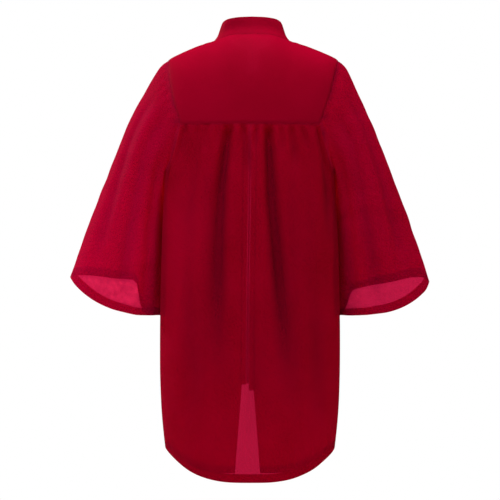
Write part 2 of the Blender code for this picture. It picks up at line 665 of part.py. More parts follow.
sliderLevel = np.array(tapeTop - 0.012)
middle, normal = frontLine(sliderLevel[None])
tilt = math.atan2(normal[0, 2], normal[0, 1])
place = Matrix.Translation(middle[0]) @ Matrix.Rotation(tilt, 4, "X")
sliderBase = behind + 0.0007 + seamGap
sliderSolid = joinedSolid("zip_slider", [
    ((0.0094, 0.0026, 0.0130), (0, sliderBase + 0.0013, 0)),
    ((0.0066, 0.0022, 0.0090), (0, sliderBase + 0.0022, 0)),
    ((0.0020, 0.0034, 0.0014), (0, sliderBase + 0.0046, 0.0036)),
    ((0.0020, 0.0034, 0.0014), (0, sliderBase + 0.0046, -0.0036)),
    ((0.0020, 0.0012, 0.0086), (0, sliderBase + 0.0068, 0)),
], place, nickel)
hinge = place @ Matrix.Translation((0, sliderBase + 0.0048, -0.0016))
pull = joinedSolid("zip_pull", [
    ((0.0060, 0.0012, 0.0012), (0, 0, 0)),
    ((0.0014, 0.0012, 0.0090), (0.0023, 0, -0.0040)),
    ((0.0014, 0.0012, 0.0090), (-0.0023, 0, -0.0040)),
    ((0.0060, 0.0012, 0.0170), (0, 0, -0.0160)),
], hinge, nickel)
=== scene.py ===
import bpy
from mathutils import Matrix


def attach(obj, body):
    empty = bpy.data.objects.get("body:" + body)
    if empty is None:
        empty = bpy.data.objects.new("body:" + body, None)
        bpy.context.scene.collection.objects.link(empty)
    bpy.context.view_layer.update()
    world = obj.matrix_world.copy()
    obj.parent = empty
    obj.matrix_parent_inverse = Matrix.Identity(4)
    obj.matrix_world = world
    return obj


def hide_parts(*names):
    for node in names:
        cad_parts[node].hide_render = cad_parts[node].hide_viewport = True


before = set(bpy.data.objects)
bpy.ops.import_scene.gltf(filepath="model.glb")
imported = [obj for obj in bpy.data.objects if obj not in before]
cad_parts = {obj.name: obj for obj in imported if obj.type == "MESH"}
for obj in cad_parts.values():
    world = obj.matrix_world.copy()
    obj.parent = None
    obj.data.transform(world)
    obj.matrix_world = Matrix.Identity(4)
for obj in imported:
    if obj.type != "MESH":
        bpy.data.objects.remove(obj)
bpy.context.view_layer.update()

import math

import bmesh
import bpy
import numpy as np
from mathutils import Matrix, Vector

print("frame loaded")

# The gown's cut and stance, the same as in the solids. The back faces -Y, the wearer's left is at -X.
cut = {
    "neckHalf": 0.1020,
    "neckBack": 0.0620,
    "neckFront": 0.0800,
    "yokeLevel": -0.2137,
    "underarmLevel": -0.3400,
    "hemBack": -1.1070,
    "hemFront": -1.1150,
    "hemSide": -1.0320,
    "hemPower": 3.0,
    "bodyPower": 2.2,
    "shoulderPower": 2.5,
    "armholePower": 2.4,
    "zipHalfGap": 0.0155,
    "zipEnd": -0.8900,
    "hemHalfGap": 0.0330,
    "openingSway": -0.0065,
    "seamGap": 0.0003,
    "solidWall": 0.0015,
}

# Thickness of the cloth, of the collar, and the radius of a turned edge
cloth = {
    "wall": 0.0006,
    "collarWall": 0.0018,
    "turn": 0.00075,
    "hemRows": 2,
    "cuffRows": 3,
}


def table(names, rows):
    return dict(zip(names.split(), np.array(rows, float).T))


def curve(rows, name, at):
    # a smooth curve through one column of a table, read at a value of its first column
    xs = list(rows.values())[0]
    ys = rows[name]
    if xs[0] > xs[-1]:
        xs, ys = xs[::-1], ys[::-1]
    at = np.clip(at, xs[0], xs[-1])
    steps = np.diff(ys) / np.diff(xs)
    slopes = np.concatenate([[steps[0]], (steps[1:] + steps[:-1]) / 2, [steps[-1]]])
    slopes[1:-1] *= steps[1:] * steps[:-1] > 0
    i = np.clip(np.searchsorted(xs, at) - 1, 0, len(steps) - 1)
    h = xs[i + 1] - xs[i]
    t = (at - xs[i]) / h
    return (ys[i] * (1 + 2 * t) * (1 - t) ** 2 + ys[i + 1] * t * t * (3 - 2 * t)
            + h * t * (1 - t) * (slopes[i] * (1 - t) - slopes[i + 1] * t))


def smooth(t):
    t = np.clip(t, 0, 1)
    return t * t * (3 - 2 * t)


def unit(v):
    return v / np.maximum(np.linalg.norm(v, axis=-1, keepdims=True), 1e-12)


def trough(r):
    # across a fold: deepest in its middle, with a slight ridge on either side
    return (1 - 0.45 * r * r) * np.exp(-0.6 * r * r)


def lengths(points, axis):
    # how far along the cloth each point of a grid lies, down its columns (0) or across its rows (1)
    steps = np.linalg.norm(np.diff(points, axis=axis), axis=-1)
    return np.concatenate([np.zeros_like(steps[:, :1] if axis else steps[:1]), np.cumsum(steps, axis)], axis)


def addObject(name, data):
    obj = bpy.data.objects.new(name, data)
    bpy.context.scene.collection.objects.link(obj)
    return obj


# half the width of the body at each level, and its depth behind and in front of the side seams
bodySections = table("level halfWidth backDepth frontDepth", [
    (-0.10, 0.2340, 0.115, 0.118),
    (-0.2137, 0.2320, 0.121, 0.126),
    (-0.28, 0.2225, 0.124, 0.131),
    (-0.34, 0.2180, 0.128, 0.136),
    (-0.48, 0.2235, 0.136, 0.143),
    (-0.62, 0.2275, 0.144, 0.150),
    (-0.76, 0.2295, 0.152, 0.157),
    (-0.86, 0.2285, 0.158, 0.161),
    (-0.95, 0.2245, 0.163, 0.165),
    (-1.04, 0.2150, 0.168, 0.168),
    (-1.12, 0.2030, 0.171, 0.169),
])

# the top of the shoulders; inside the collar, the crest that back and front would rise to
shoulderLine = table("across back front", [
    (0.000, 0.0360, -0.0370),
    (0.050, 0.0280, -0.0270),
    (0.102, 0.0000, 0.0000),
    (0.136, -0.0105, -0.0105),
    (0.159, -0.0195, -0.0195),
    (0.185, -0.0305, -0.0305),
    (0.207, -0.0410, -0.0410),
    (0.218, -0.0480, -0.0480),
])

# half the width between the armholes, from the shoulder (0) to the level of the yoke seam (1)
armholeEdge = table("down back front", [
    (0.00, 0.2165, 0.2165),
    (0.30, 0.2140, 0.2090),
    (0.50, 0.2100, 0.2010),
    (0.75, 0.2000, 0.1870),
    (0.90, 0.1885, 0.1760),
    (1.00, 0.1760, 0.1680),
])

# how far the shoulders and the collar stand to the wearer's right
shoulderSway = table("level aside", [
    (0.060, 0.0050),
    (0.000, 0.0050),
    (-0.045, 0.0080),
    (-0.080, 0.0050),
    (-0.120, 0.0030),
    (-0.200, 0.0005),
    (-0.212, 0.0000),
])

# troughs that fall from the yoke seam: x at the top, a quarter down, halfway and at the foot, the levels between
# which each lies, half its width at the top and at the foot, and its depth (below 0 it is a ridge)
backFolds = table("top quarter half foot start end topWidth footWidth depth", [
    (-0.0530, -0.0760, -0.0830, -0.0880, -0.2137, -0.920, 0.011, 0.032, 0.0190),
    (0.0460, 0.0560, 0.0760, 0.1120, -0.2137, -1.000, 0.011, 0.032, 0.0200),
    (-0.1620, -0.1700, -0.1760, -0.1800, -0.2137, -0.340, 0.008, 0.015, 0.0060),
    (-0.1080, -0.1110, -0.1130, -0.1150, -0.2137, -0.300, 0.007, 0.012, 0.0060),
    (-0.0190, -0.0130, -0.0070, -0.0040, -0.2137, -0.390, 0.008, 0.014, 0.0085),
    (0.1030, 0.1070, 0.1120, 0.1150, -0.2137, -0.350, 0.008, 0.013, 0.0080),
    (0.1280, 0.1330, 0.1380, 0.1420, -0.2137, -0.290, 0.007, 0.011, 0.0050),
    (-0.1290, -0.1360, -0.1430, -0.1500, -0.2137, -0.560, 0.008, 0.024, 0.0050),
    (0.0180, 0.0160, 0.0130, 0.0100, -0.2137, -0.300, 0.007, 0.011, 0.0050),
    (0.0760, 0.0790, 0.0810, 0.0830, -0.2137, -0.310, 0.007, 0.011, 0.0050),
    (0.1740, 0.1920, 0.2020, 0.2070, -0.2137, -0.560, 0.010, 0.020, 0.0115),
    (-0.0800, -0.0820, -0.0830, -0.0840, -0.2137, -0.290, 0.007, 0.010, 0.0045),
    (-0.1850, -0.1880, -0.1900, -0.1900, -0.2137, -0.420, 0.014, 0.022, -0.0080),
    (-0.0250, -0.0330, -0.0400, -0.0450, -0.2300, -0.700, 0.014, 0.026, -0.0040),
    (0.0020, 0.0050, 0.0120, 0.0200, -0.6000, -1.080, 0.020, 0.030, 0.0050),
    (-0.1500, -0.1480, -0.1450, -0.1400, -0.5500, -1.060, 0.020, 0.028, 0.0060),
    (0.1700, 0.1720, 0.1730, 0.1720, -0.6400, -1.050, 0.018, 0.024, 0.0060),
])

# the fronts hang more plainly; x here is measured from the centre line outwards
frontFolds = table("top quarter half foot start end topWidth footWidth depth", [
    (0.0620, 0.0680, 0.0750, 0.0820, -0.2300, -1.090, 0.016, 0.026, 0.0090),
    (0.1080, 0.1130, 0.1200, 0.1300, -0.2500, -1.070, 0.015, 0.026, 0.0100),
    (0.1500, 0.1570, 0.1640, 0.1700, -0.3000, -1.050, 0.014, 0.024, 0.0080),
    (0.0400, 0.0420, 0.0450, 0.0480, -0.5500, -1.100, 0.014, 0.020, 0.0040),
])

# a sleeve from the armhole (0) to the cuff (1): its outer and inner outlines seen from behind, how far forward
# its middle lies, and half its depth
sleeveSections = table("along outerX outerZ innerX innerZ forward halfDepth", [
    (0.000, 0.2165, -0.0475, 0.2180, -0.3400, 0.002, 0.080),
    (0.054, 0.2400, -0.0690, 0.2180, -0.3380, 0.022, 0.086),
    (0.151, 0.2715, -0.1224, 0.2120, -0.3700, 0.042, 0.090),
    (0.291, 0.3100, -0.1989, 0.2130, -0.4250, 0.052, 0.092),
    (0.427, 0.3415, -0.2754, 0.2140, -0.4800, 0.057, 0.092),
    (0.563, 0.3715, -0.3519, 0.2150, -0.5350, 0.058, 0.090),
    (0.699, 0.4015, -0.4284, 0.2150, -0.5870, 0.061, 0.086),
    (0.834, 0.4305, -0.5049, 0.2160, -0.6380, 0.062, 0.080),
    (1.000, 0.4620, -0.6000, 0.2180, -0.6990, 0.062, 0.072),
])

# the hem of each cuff, from its inner end (-1) to its outer end (1), on the near side (back) and the far side
cuffHems = table("across nearLeft farLeft nearRight farRight", [
    (-1.00, -0.6980, -0.6980, -0.6980, -0.6980),
    (-0.80, -0.6980, -0.6960, -0.6980, -0.6900),
    (-0.74, -0.6980, -0.6950, -0.6980, -0.6680),
    (-0.67, -0.6978, -0.6935, -0.6980, -0.6430),
    (-0.58, -0.6973, -0.6910, -0.6975, -0.6330),
    (-0.48, -0.6965, -0.6850, -0.6968, -0.6290),
    (-0.44, -0.6960, -0.6670, -0.6962, -0.6280),
    (-0.39, -0.6950, -0.6260, -0.6958, -0.6270),
    (-0.34, -0.6940, -0.6110, -0.6955, -0.6255),
    (-0.20, -0.6900, -0.6070, -0.6935, -0.6220),
    (0.10, -0.6800, -0.6040, -0.6880, -0.6160),
    (0.40, -0.6640, -0.5990, -0.6760, -0.6080),
    (0.60, -0.6490, -0.5960, -0.6630, -0.6020),
    (0.79, -0.6310, -0.5950, -0.6460, -0.6000),
    (0.93, -0.6140, -0.5970, -0.6290, -0.6030),
    (1.00, -0.6000, -0.6000, -0.6110, -0.6110),
])

# troughs along a sleeve: the turn from its outer edge over the back, in degrees, at the armhole and at the cuff,
# the stretch it covers, half its width in degrees, and its depth
sleeveFolds = table("top foot start end halfWidth depth", [
    (38, 52, 0.06, 0.80, 10, 0.0075),
    (74, 96, 0.03, 0.96, 11, 0.0085),
    (112, 128, 0.10, 0.98, 11, 0.0080),
    (150, 152, 0.18, 1.00, 15, 0.0085),
    (236, 226, 0.12, 1.00, 12, 0.0080),
    (276, 268, 0.05, 0.97, 12, 0.0085),
    (318, 312, 0.08, 0.85, 11, 0.0070),
])

# the upper edge of the collar round the neck: the turn from the middle of the front, in degrees, and its place
collarTop = table("turn across depth level", [
    (8, 0.0125, 0.0680, -0.0150),
    (35, 0.0480, 0.0560, -0.0010),
    (65, 0.0710, 0.0290, 0.0220),
    (90, 0.0765, -0.0040, 0.0420),
    (120, 0.0655, -0.0330, 0.0535),
    (150, 0.0375, -0.0480, 0.0585),
    (180, 0.0000, -0.0520, 0.0600),
])

# the fine gathers under the yoke seam, and the soft unevenness of cloth that hangs
gathers = {"count": 38, "reach": 0.160, "depth": 0.0012, "width": 0.0040, "length": 0.024, "seed": 11}
unevenness = {"depth": 0.0016, "across": 0.075, "down": 0.42, "waves": 12, "seed": 5}

gatherDice = np.random.default_rng(gathers["seed"])
gatherX = np.linspace(-gathers["reach"], gathers["reach"], gathers["count"])
gatherX = gatherX + gatherDice.uniform(-0.0026, 0.0026, gathers["count"])
gatherDepth = gathers["depth"] * gatherDice.uniform(0.35, 1.7, gathers["count"])
gatherWidth = gathers["width"] * gatherDice.uniform(0.75, 1.5, gathers["count"])
gatherLength = gathers["length"] * gatherDice.uniform(0.35, 1.9, gathers["count"])
gatherDrift = gatherX * 0.05 + gatherDice.uniform(-0.05, 0.05, gathers["count"])


def gatherPress(x, z):
    down = cut["yokeLevel"] - z
    total = np.zeros_like(x)
    for at, deep, wide, long, drift in zip(gatherX, gatherDepth, gatherWidth, gatherLength, gatherDrift):
        r = (x - at - drift * down) / (wide * (1 + down / long * 0.7))
        total += deep * np.exp(-r * r) * np.exp(-(down / long) ** 1.4)
    return total


def softWaves(across, down, seed):
    # uneven swells, long down the cloth and short across it
    dice = np.random.default_rng(seed)
    total = np.zeros(np.broadcast(across, down).shape)
    for k in range(unevenness["waves"]):
        a = 2 * math.pi / (unevenness["across"] * dice.uniform(0.5, 2.2))
        d = 2 * math.pi / (unevenness["down"] * dice.uniform(0.4, 1.6)) * dice.choice([-1, 1])
        total += np.sin(a * across + d * down + dice.uniform(0, 6.28)) * dice.uniform(0.3, 1)
    return total * unevenness["depth"] / math.sqrt(unevenness["waves"])


def frontCentre(z):
    return cut["openingSway"] * smooth((-0.2 - z) / 0.6)


def frontEdge(hand, z):
    # from the centre line to the edge of a front; hand is 1 for the front at +X
    parted = np.clip((cut["zipEnd"] - z) / (cut["zipEnd"] - cut["hemFront"]), 0, 1)
    return cut["zipHalfGap"] + (cut["hemHalfGap"] - cut["zipHalfGap"]) * parted + hand * frontCentre(z)


def foldDepth(folds, x, z):
    total = 0.0
    for top, quarter, half, foot, start, end, topWidth, footWidth, depth in zip(*folds.values()):
        t = np.clip((start - z) / (start - end), 0, 1)
        path = np.interp(t, (0, 0.25, 0.5, 1), (top, quarter, half, foot))
        r = (x - path) / (topWidth + (footWidth - topWidth) * t)
        reach = smooth((1 - t) / 0.55)
        if start != cut["yokeLevel"]:
            reach = reach * smooth((start - z) / 0.15)
        total = total + depth * trough(r) * reach
    return total


def halfAndDepth(side, z):
    depth = "backDepth" if side < 0 else "frontDepth"
    return curve(bodySections, "halfWidth", z), curve(bodySections, depth, z)


def angleAt(side, x, z):
    return np.arccos((np.abs(x) / halfAndDepth(side, z)[0]) ** (cut["bodyPower"] / 2))


def topLevel(side, angle):
    # the upper edge of the body: level between the armholes, falling round them outside
    corner = angleAt(side, armholeEdge["back" if side < 0 else "front"][-1], cut["yokeLevel"])
    fromSide = np.minimum(np.minimum(angle, math.pi - angle) / corner, 1)
    rise = cut["yokeLevel"] - cut["underarmLevel"]
    return cut["underarmLevel"] + rise * fromSide ** cut["armholePower"]


def bodyPoint(side, angle, z):
    # side is -1 for the back; angle runs from 0 at the +X side seam over pi / 2 at the middle to pi
    half, deep = halfAndDepth(side, z)
    c, s = np.cos(angle), np.sin(angle)
    x = half * np.sign(c) * np.abs(c) ** (2 / cut["bodyPower"])
    y = side * deep * np.abs(s) ** (2 / cut["bodyPower"])
    normal = unit(np.stack([c / half, side * s / deep], -1))
    press = foldDepth(backFolds, x, z) if side < 0 else foldDepth(frontFolds, np.abs(x), z)
    press = press * smooth(np.abs(s) / 0.25) * smooth((topLevel(side, angle) - z) / 0.025)
    # painted shade: the deeper a fold, the darker the cloth's colour, full at 16 mm
    hollow = np.clip(press / 0.016, 0, 1)
    waves = softWaves(x, z, unevenness["seed"] + side)
    press = press + waves * smooth(np.abs(s) / 0.2) * smooth((topLevel(side, angle) - z) / 0.06)
    if side < 0:
        press = press + gatherPress(x, z) * smooth((topLevel(side, angle) - z) / 0.004)
    if side > 0:
        press = press * smooth((np.abs(x) - 0.026) / 0.02)
    return np.stack([x - normal[..., 0] * press, y - normal[..., 1] * press, z + 0 * x], -1), hollow


def hemLevel(side, angle):
    lowest = cut["hemBack"] if side < 0 else cut["hemFront"]
    return lowest + (cut["hemSide"] - lowest) * np.abs(np.cos(angle)) ** cut["hemPower"]


def depthAt(x, half, deep):
    # how deep a rounded section of the body is at x, or how wide at y
    return deep * np.clip(1 - (np.abs(x) / half) ** cut["bodyPower"], 0, 1) ** (1 / cut["bodyPower"])


def shoulderPoint(side, x, turn):
    # above the yoke seam's level; turn runs from 0 on the shoulder line to pi / 2 at that level
    deep = depthAt(x, *halfAndDepth(side, cut["yokeLevel"]))
    crest = curve(shoulderLine, "back" if side < 0 else "front", np.abs(x))
    y = side * deep * np.sin(turn) ** (2 / cut["shoulderPower"])
    z = crest - (crest - cut["yokeLevel"]) * (1 - np.cos(turn) ** (2 / cut["shoulderPower"]))
    return np.stack([x + 0 * z, y, z], -1)


def neckTurn(side, x):
    # the turn at which a column of the shoulders meets the collar seam, or 0 beyond the collar
    deep = depthAt(x, *halfAndDepth(side, cut["yokeLevel"]))
    reach = cut["neckBack" if side < 0 else "neckFront"] * np.sqrt(np.clip(1 - (x / cut["neckHalf"]) ** 2, 0, 1))
    return np.arcsin((reach / deep) ** (cut["shoulderPower"] / 2))


def swayed(points):
    points = points.copy()
    points[..., 0] += curve(shoulderSway, "aside", points[..., 2])
    return points


def cornersOf(rows, columns, keep=None, closed=False):
    # each cell's four corners as (row, column), the column running on past the last one on a closed ring
    r, c = np.mgrid[0:rows - 1, 0:columns if closed else columns - 1]
    cells = np.stack([np.stack([r, r + 1, r + 1, r], -1), np.stack([c, c, c + 1, c + 1], -1)], -1)
    return cells.reshape(-1, 4, 2) if keep is None else cells[keep]


def normalsOf(points, cells):
    columns = points.shape[1]
    flat = points.reshape(-1, 3)
    index = cells[..., 0] * columns + cells[..., 1] % columns
    normals = np.zeros_like(flat)
    for part in ((0, 1, 2), (0, 2, 3)):
        a, b, c = [flat[index[:, k]] for k in part]
        faces = np.cross(b - a, c - a)
        for k in part:
            np.add.at(normals, index[:, k], faces)
    return unit(normals).reshape(points.shape)


def panelOf(points, keep=None, closed=False, inside=(0, 0, -0.5), first=None):
    # the outer face of a piece of cloth: points and normals on a grid, and whether its cells must be turned
    cells = cornersOf(*points.shape[:2], keep, closed)
    normals = normalsOf(points, cells)
    turned = ((points - np.broadcast_to(inside, points.shape)) * normals)[..., :2].sum() < 0
    if turned:
        normals = -normals
    if first is not None:
        normals[0] = first
    return {"points": points, "normals": normals, "keep": keep, "closed": closed, "turned": turned}


# the seams lie a little lower than the cloth beside them; painted shade darkens the cloth along them, where the cap
# puckers and on the sleeves' sides against the body, and the far cuffs get painted light
seamLook = {
    "depth": 0.0010,
    "width": 0.0026,
    "dark": 0.45,
    "seamShadeWidth": 0.0042,
    "puckerShade": {1: 0.8, -1: 0.75},
    "puckerShadeWidth": 0.013,
    "innerShade": 0.85,
    "paintedCuffLight": {1: 0.22, -1: 0.75},
}


def grooved(panel, seams):
    # seams name the edges of the grid that are sewn: top, bottom, first or last
    points = panel["points"]
    down, across = lengths(points, 0), lengths(points, 1)
    apart = {"top": down, "bottom": down[-1:] - down, "first": across, "last": across[:, -1:] - across}
    nearest = np.minimum.reduce([apart[seam] for seam in seams])
    sink = np.exp(-(nearest / seamLook["width"]) ** 2) * seamLook["depth"]
    # painted shade along the seams, for the cloth's colour
    dark = np.exp(-(nearest / seamLook["seamShadeWidth"]) ** 2) * seamLook["dark"]
    return points - panel["normals"] * sink[..., None], dark


def edgeOf(panel, edge, inner):
    # along an edge: its points, its normals, and the directions in which the cloth would go on
    at, beside = [tuple(np.array(k).T) for k in (edge, inner)]
    points, normals = panel["points"][at], panel["normals"][at]
    away = points - panel["points"][beside]
    along = unit(np.gradient(points, axis=0))
    away = away - (away * along).sum(-1, keepdims=True) * along
    away = away - (away * normals).sum(-1, keepdims=True) * normals
    return points, normals, unit(away)


def joined(edges):
    points, normals, away = [[np.array(e[k]) for e in edges] for k in range(3)]
    for kind in (points, normals, away):
        for i in range(len(kind) - 1):
            middle = (kind[i][-1] + kind[i + 1][0]) / 2
            if kind is points:
                middle = middle + unit(away[i][-1] + away[i + 1][0]) * 0.0003
            kind[i] = kind[i][:-1]
            kind[i + 1][0] = middle
    return np.concatenate(points), unit(np.concatenate(normals)), unit(np.concatenate(away))


def turnedUp(panel, rows):
    # the cloth goes on round its last row and back up on the inside, as a hem
    points, normals, keep = panel["points"], panel["normals"], panel["keep"]
    if keep is None:
        keep = np.ones((points.shape[0] - 1, points.shape[1] - (0 if panel["closed"] else 1)), bool)
    r = cloth["turn"]
    onward = points[-1] - points[-2]
    onward = unit(onward - (onward * normals[-1]).sum(-1, keepdims=True) * normals[-1])
    turns = np.array([0.25, 0.5, 0.75, 1.0])[:, None, None] * math.pi
    round_ = normals[-1] * np.cos(turns) + onward * np.sin(turns)
    inner = slice(-2, -2 - rows, -1)
    more = [points[-1] - normals[-1] * r + r * round_, points[inner] - 2 * r * normals[inner]]
    added = len(round_) + rows
    return {
        **panel,
        "points": np.concatenate([points, *more]),
        "normals": np.concatenate([normals, round_, -normals[inner]]),
        "keep": np.concatenate([keep, np.repeat(keep[-1:], added, 0)]),
        "hollow": np.concatenate([panel["hollow"], np.repeat(panel["hollow"][-1:], added, 0)]),
    }


def grainOf(points, closed):
    # lengths across and down the cloth, in metres, with one more column on a closed ring
    wide = np.concatenate([points, points[:, :1]], 1) if closed else points
    across = lengths(wide, 1)
    across -= across[:, across.shape[1] // 2][:, None]
    return np.stack([across, -lengths(wide, 0)], -1)


def addShell(name, panel, wall, material):
    # a piece of cloth: its outer face, an inner face one wall inside it, and the cut edges between them
    points, normals = panel["points"], panel["normals"]
    rows, columns = points.shape[:2]
    cells = cornersOf(rows, columns, panel["keep"], panel["closed"])
    if panel["turned"]:
        cells = cells[:, ::-1]
    grain = grainOf(points, panel["closed"])
    index = cells[..., 0] * columns + cells[..., 1] % columns
    uv = grain[cells[..., 0], cells[..., 1]]
    count = rows * columns
    starts, ends = index, np.roll(index, -1, 1)
    key = np.minimum(starts, ends) * count + np.maximum(starts, ends)
    _, inverse, times = np.unique(key, return_inverse=True, return_counts=True)
    rim = times[inverse.reshape(key.shape)] == 1
    a, b = starts[rim], ends[rim]
    uvA, uvB = uv[rim], np.roll(uv, -1, 1)[rim]
    faces = np.concatenate([index, index[:, ::-1] + count, np.stack([b, a, a + count, b + count], -1)])
    uvs = np.concatenate([uv, uv[:, ::-1], np.stack([uvB, uvA, uvA, uvB], 1)])
    verts = np.concatenate([points.reshape(-1, 3), (points - wall * normals).reshape(-1, 3)])
    used, faces = np.unique(faces, return_inverse=True)
    faces = faces.reshape(-1, 4)
    mesh = bpy.data.meshes.new(name)
    mesh.from_pydata(verts[used].tolist(), [], faces.tolist())
    # painted shade, and the far cuffs' painted light, kept on the mesh for the material
    hollow = panel.get("hollow", np.zeros((rows, columns))).reshape(-1)
    shade = mesh.attributes.new("hollow", "FLOAT", "POINT")
    shade.data.foreach_set("value", np.concatenate([hollow, hollow])[used].astype(np.float32))
    layer = mesh.uv_layers.new(name="grain")
    layer.data.foreach_set("uv", uvs.reshape(-1).astype(np.float32))
    mesh.shade_smooth()
    mesh.set_sharp_from_angle(angle=math.radians(50))
    mesh.materials.append(material)
    return addObject(name, mesh)


def unevenSteps(count, start):
    # from 0 to 1, closer together at the start
    t = np.linspace(0, 1, count)
    return t * (start + (1 - start) * t)


def endSteps(count):
    # from 0 to 1, closer together at both ends
    t = np.linspace(0, 1, count)
    return 0.45 * t + 0.275 * (1 - np.cos(math.pi * t))


# how finely each piece is made: columns beside the armholes, columns between them, and rows
fineness = {
    "side": 26,
    "backHalf": 92,
    "backRows": 150,
    "shoulder": 26,
    "neck": 34,
    "yokeRows": 52,
    "frontHalf": 44,
    "frontRows": 146,
    "sleeveRows": 112,
    "collarRows": 16,
}


def backGrid():
    corner = angleAt(-1, armholeEdge["back"][-1], cut["yokeLevel"])
    between = angleAt(-1, np.linspace(armholeEdge["back"][-1], 0, fineness["backHalf"]), cut["yokeLevel"])
    quarter = np.concatenate([np.linspace(0, corner, fineness["side"])[:-1], between])
    angles = np.concatenate([quarter, math.pi - quarter[-2::-1]])
    tops = topLevel(-1, angles) - cut["seamGap"] / 2
    hem = hemLevel(-1, angles)
    levels = tops + (hem - tops) * unevenSteps(fineness["backRows"], 0.25)[:, None]
    points, hollow = bodyPoint(-1, np.broadcast_to(angles, levels.shape), levels)
    # the painted fold shade grows below the seam that the folds start from
    hollow = hollow * (0.30 + 0.70 * smooth((tops - levels) / 0.075))
    points[..., 1] -= cut["seamGap"] / 2
    points, seam = grooved(panelOf(points), ["top"])
    # painted shade of the folds and along the seam
    return {**panelOf(points), "hollow": np.maximum(hollow, seam)}


def yokeGrid():
    wide = armholeEdge["back"][0] + (cut["neckHalf"] - armholeEdge["back"][0]) * unevenSteps(fineness["shoulder"], 0.35)
    narrow = cut["neckHalf"] * np.cos(np.linspace(0, math.pi / 2, fineness["neck"]))[1:]
    tops = np.concatenate([wide, narrow, -narrow[-2::-1], -wide[::-1]])
    turns = neckTurn(-1, tops)
    down = endSteps(fineness["yokeRows"])[:, None]
    width = curve(armholeEdge, "back", down) / armholeEdge["back"][0]
    points = shoulderPoint(-1, tops * width, turns + (math.pi / 2 - turns) * down)
    points[..., 2] += cut["seamGap"] / 2
    points[..., 1] -= cut["seamGap"] / 2
    points, seam = grooved(panelOf(swayed(points), inside=(0, 0, -0.2)), ["top", "bottom", "first", "last"])
    # painted shade along the yoke's seams
    return {**panelOf(points, inside=(0, 0, -0.2)), "hollow": seam}


def frontGrid(hand):
    armhole = armholeEdge["front"]
    edgeTop = frontEdge(hand, 0.0)
    wide = (armhole[0] + (cut["neckHalf"] - armhole[0]) * unevenSteps(fineness["shoulder"], 0.35))[:-1]
    fade = np.linspace(0, 1, fineness["frontHalf"])
    narrow = cut["neckHalf"] + (edgeTop - cut["neckHalf"]) * np.sin(fade * math.pi / 2) ** 1.2
    tops = np.concatenate([wide, narrow])
    across = (armhole[0] - tops) / (armhole[0] - edgeTop)
    turns = neckTurn(1, tops)
    down = np.linspace(0, 0.985, fineness["yokeRows"])[:, None]
    width = curve(armholeEdge, "front", down)
    upper = shoulderPoint(1, width - (width - edgeTop) * across, turns + (math.pi / 2 - turns) * down)

    corner = angleAt(1, armhole[-1], cut["yokeLevel"])
    atYoke = angleAt(1, armhole[-1] - (armhole[-1] - edgeTop) * across, cut["yokeLevel"])
    sides = np.linspace(0, corner, fineness["side"])[:-1]
    angles = np.concatenate([sides, atYoke])
    tops = topLevel(1, angles)
    levels = tops + (hemLevel(1, angles) - tops) * unevenSteps(fineness["frontRows"], 0.5)[:, None]
    edgeAngle = angleAt(1, frontEdge(hand, levels), levels)
    # with the points comes the painted shade of the folds
    lower, hollow = bodyPoint(1, angles / angles[-1] * edgeAngle, levels)
    count, skipped = len(down), len(sides)
    hollow = np.concatenate([np.zeros((count, len(angles))), hollow])
    points = np.zeros((count + len(levels), len(angles), 3))
    points[:count, skipped:] = upper
    points[count:] = lower
    points[..., 1] += cut["seamGap"] / 2
    points[:, :, 0] *= hand
    points[:count, :skipped] = points[count, :skipped]
    keep = np.ones((len(points) - 1, len(angles) - 1), bool)
    keep[:count, :skipped] = False
    marks = {"hollow": hollow, "count": count, "skipped": skipped, "shoulder": len(wide)}
    return {**panelOf(swayed(points), keep), **marks}


def armholeRing(hand, yoke, back, front):
    # from the shoulder over the back and the underarm to the front
    yokeColumns, backColumns = yoke["points"].shape[1], back["points"].shape[1]
    count, skipped = front["count"], front["skipped"]
    outer, beside = (0, 1) if hand > 0 else (yokeColumns - 1, yokeColumns - 2)
    rows = range(fineness["yokeRows"])
    behind = edgeOf(yoke, [(r, outer) for r in rows], [(r, beside) for r in rows])
    order = [c if hand > 0 else backColumns - 1 - c for c in range(fineness["side"] - 1, -1, -1)]
    lowBack = edgeOf(back, [(0, c) for c in order], [(1, c) for c in order])
    order = range(skipped + 1)
    lowFront = edgeOf(front, [(count, c) for c in order], [(count + 1, c) for c in order])
    rows = range(count, -1, -1)
    highFront = edgeOf(front, [(r, skipped) for r in rows], [(r, skipped + 1) for r in rows])
    points, normals, away = joined([behind, lowBack, lowFront, highFront, [e[:1] for e in behind]])
    return points[:-1], normals[:-1], away[:-1]


def clearOfBody(points):
    # a sleeve stands off the side of the body, a little less beside the underarm
    points = points.copy()
    side = np.where(points[..., 1] < 0, -1, 1)
    margin = 0.0030 + 0.0030 * smooth((-0.38 - points[..., 2]) / 0.10)
    half = curve(bodySections, "halfWidth", points[..., 2]) + margin
    deep = np.where(side < 0, curve(bodySections, "backDepth", points[..., 2]),
                    curve(bodySections, "frontDepth", points[..., 2])) + margin
    least = depthAt(points[..., 1], deep, half)
    low = smooth((-0.30 - points[..., 2]) / 0.05)
    x = np.abs(points[..., 0])
    points[..., 0] = np.sign(points[..., 0]) * (x + low * np.maximum(least - x, 0))
    return points


def sleeveSection(along, turn):
    outer = np.stack([curve(sleeveSections, "outerX", along), curve(sleeveSections, "outerZ", along)], -1)
    inner = np.stack([curve(sleeveSections, "innerX", along), curve(sleeveSections, "innerZ", along)], -1)
    flat = (outer + inner) / 2 + (outer - inner) / 2 * np.cos(turn)[..., None]
    y = curve(sleeveSections, "forward", along) - curve(sleeveSections, "halfDepth", along) * np.sin(turn)
    return np.stack([flat[..., 0], y, flat[..., 1]], -1)


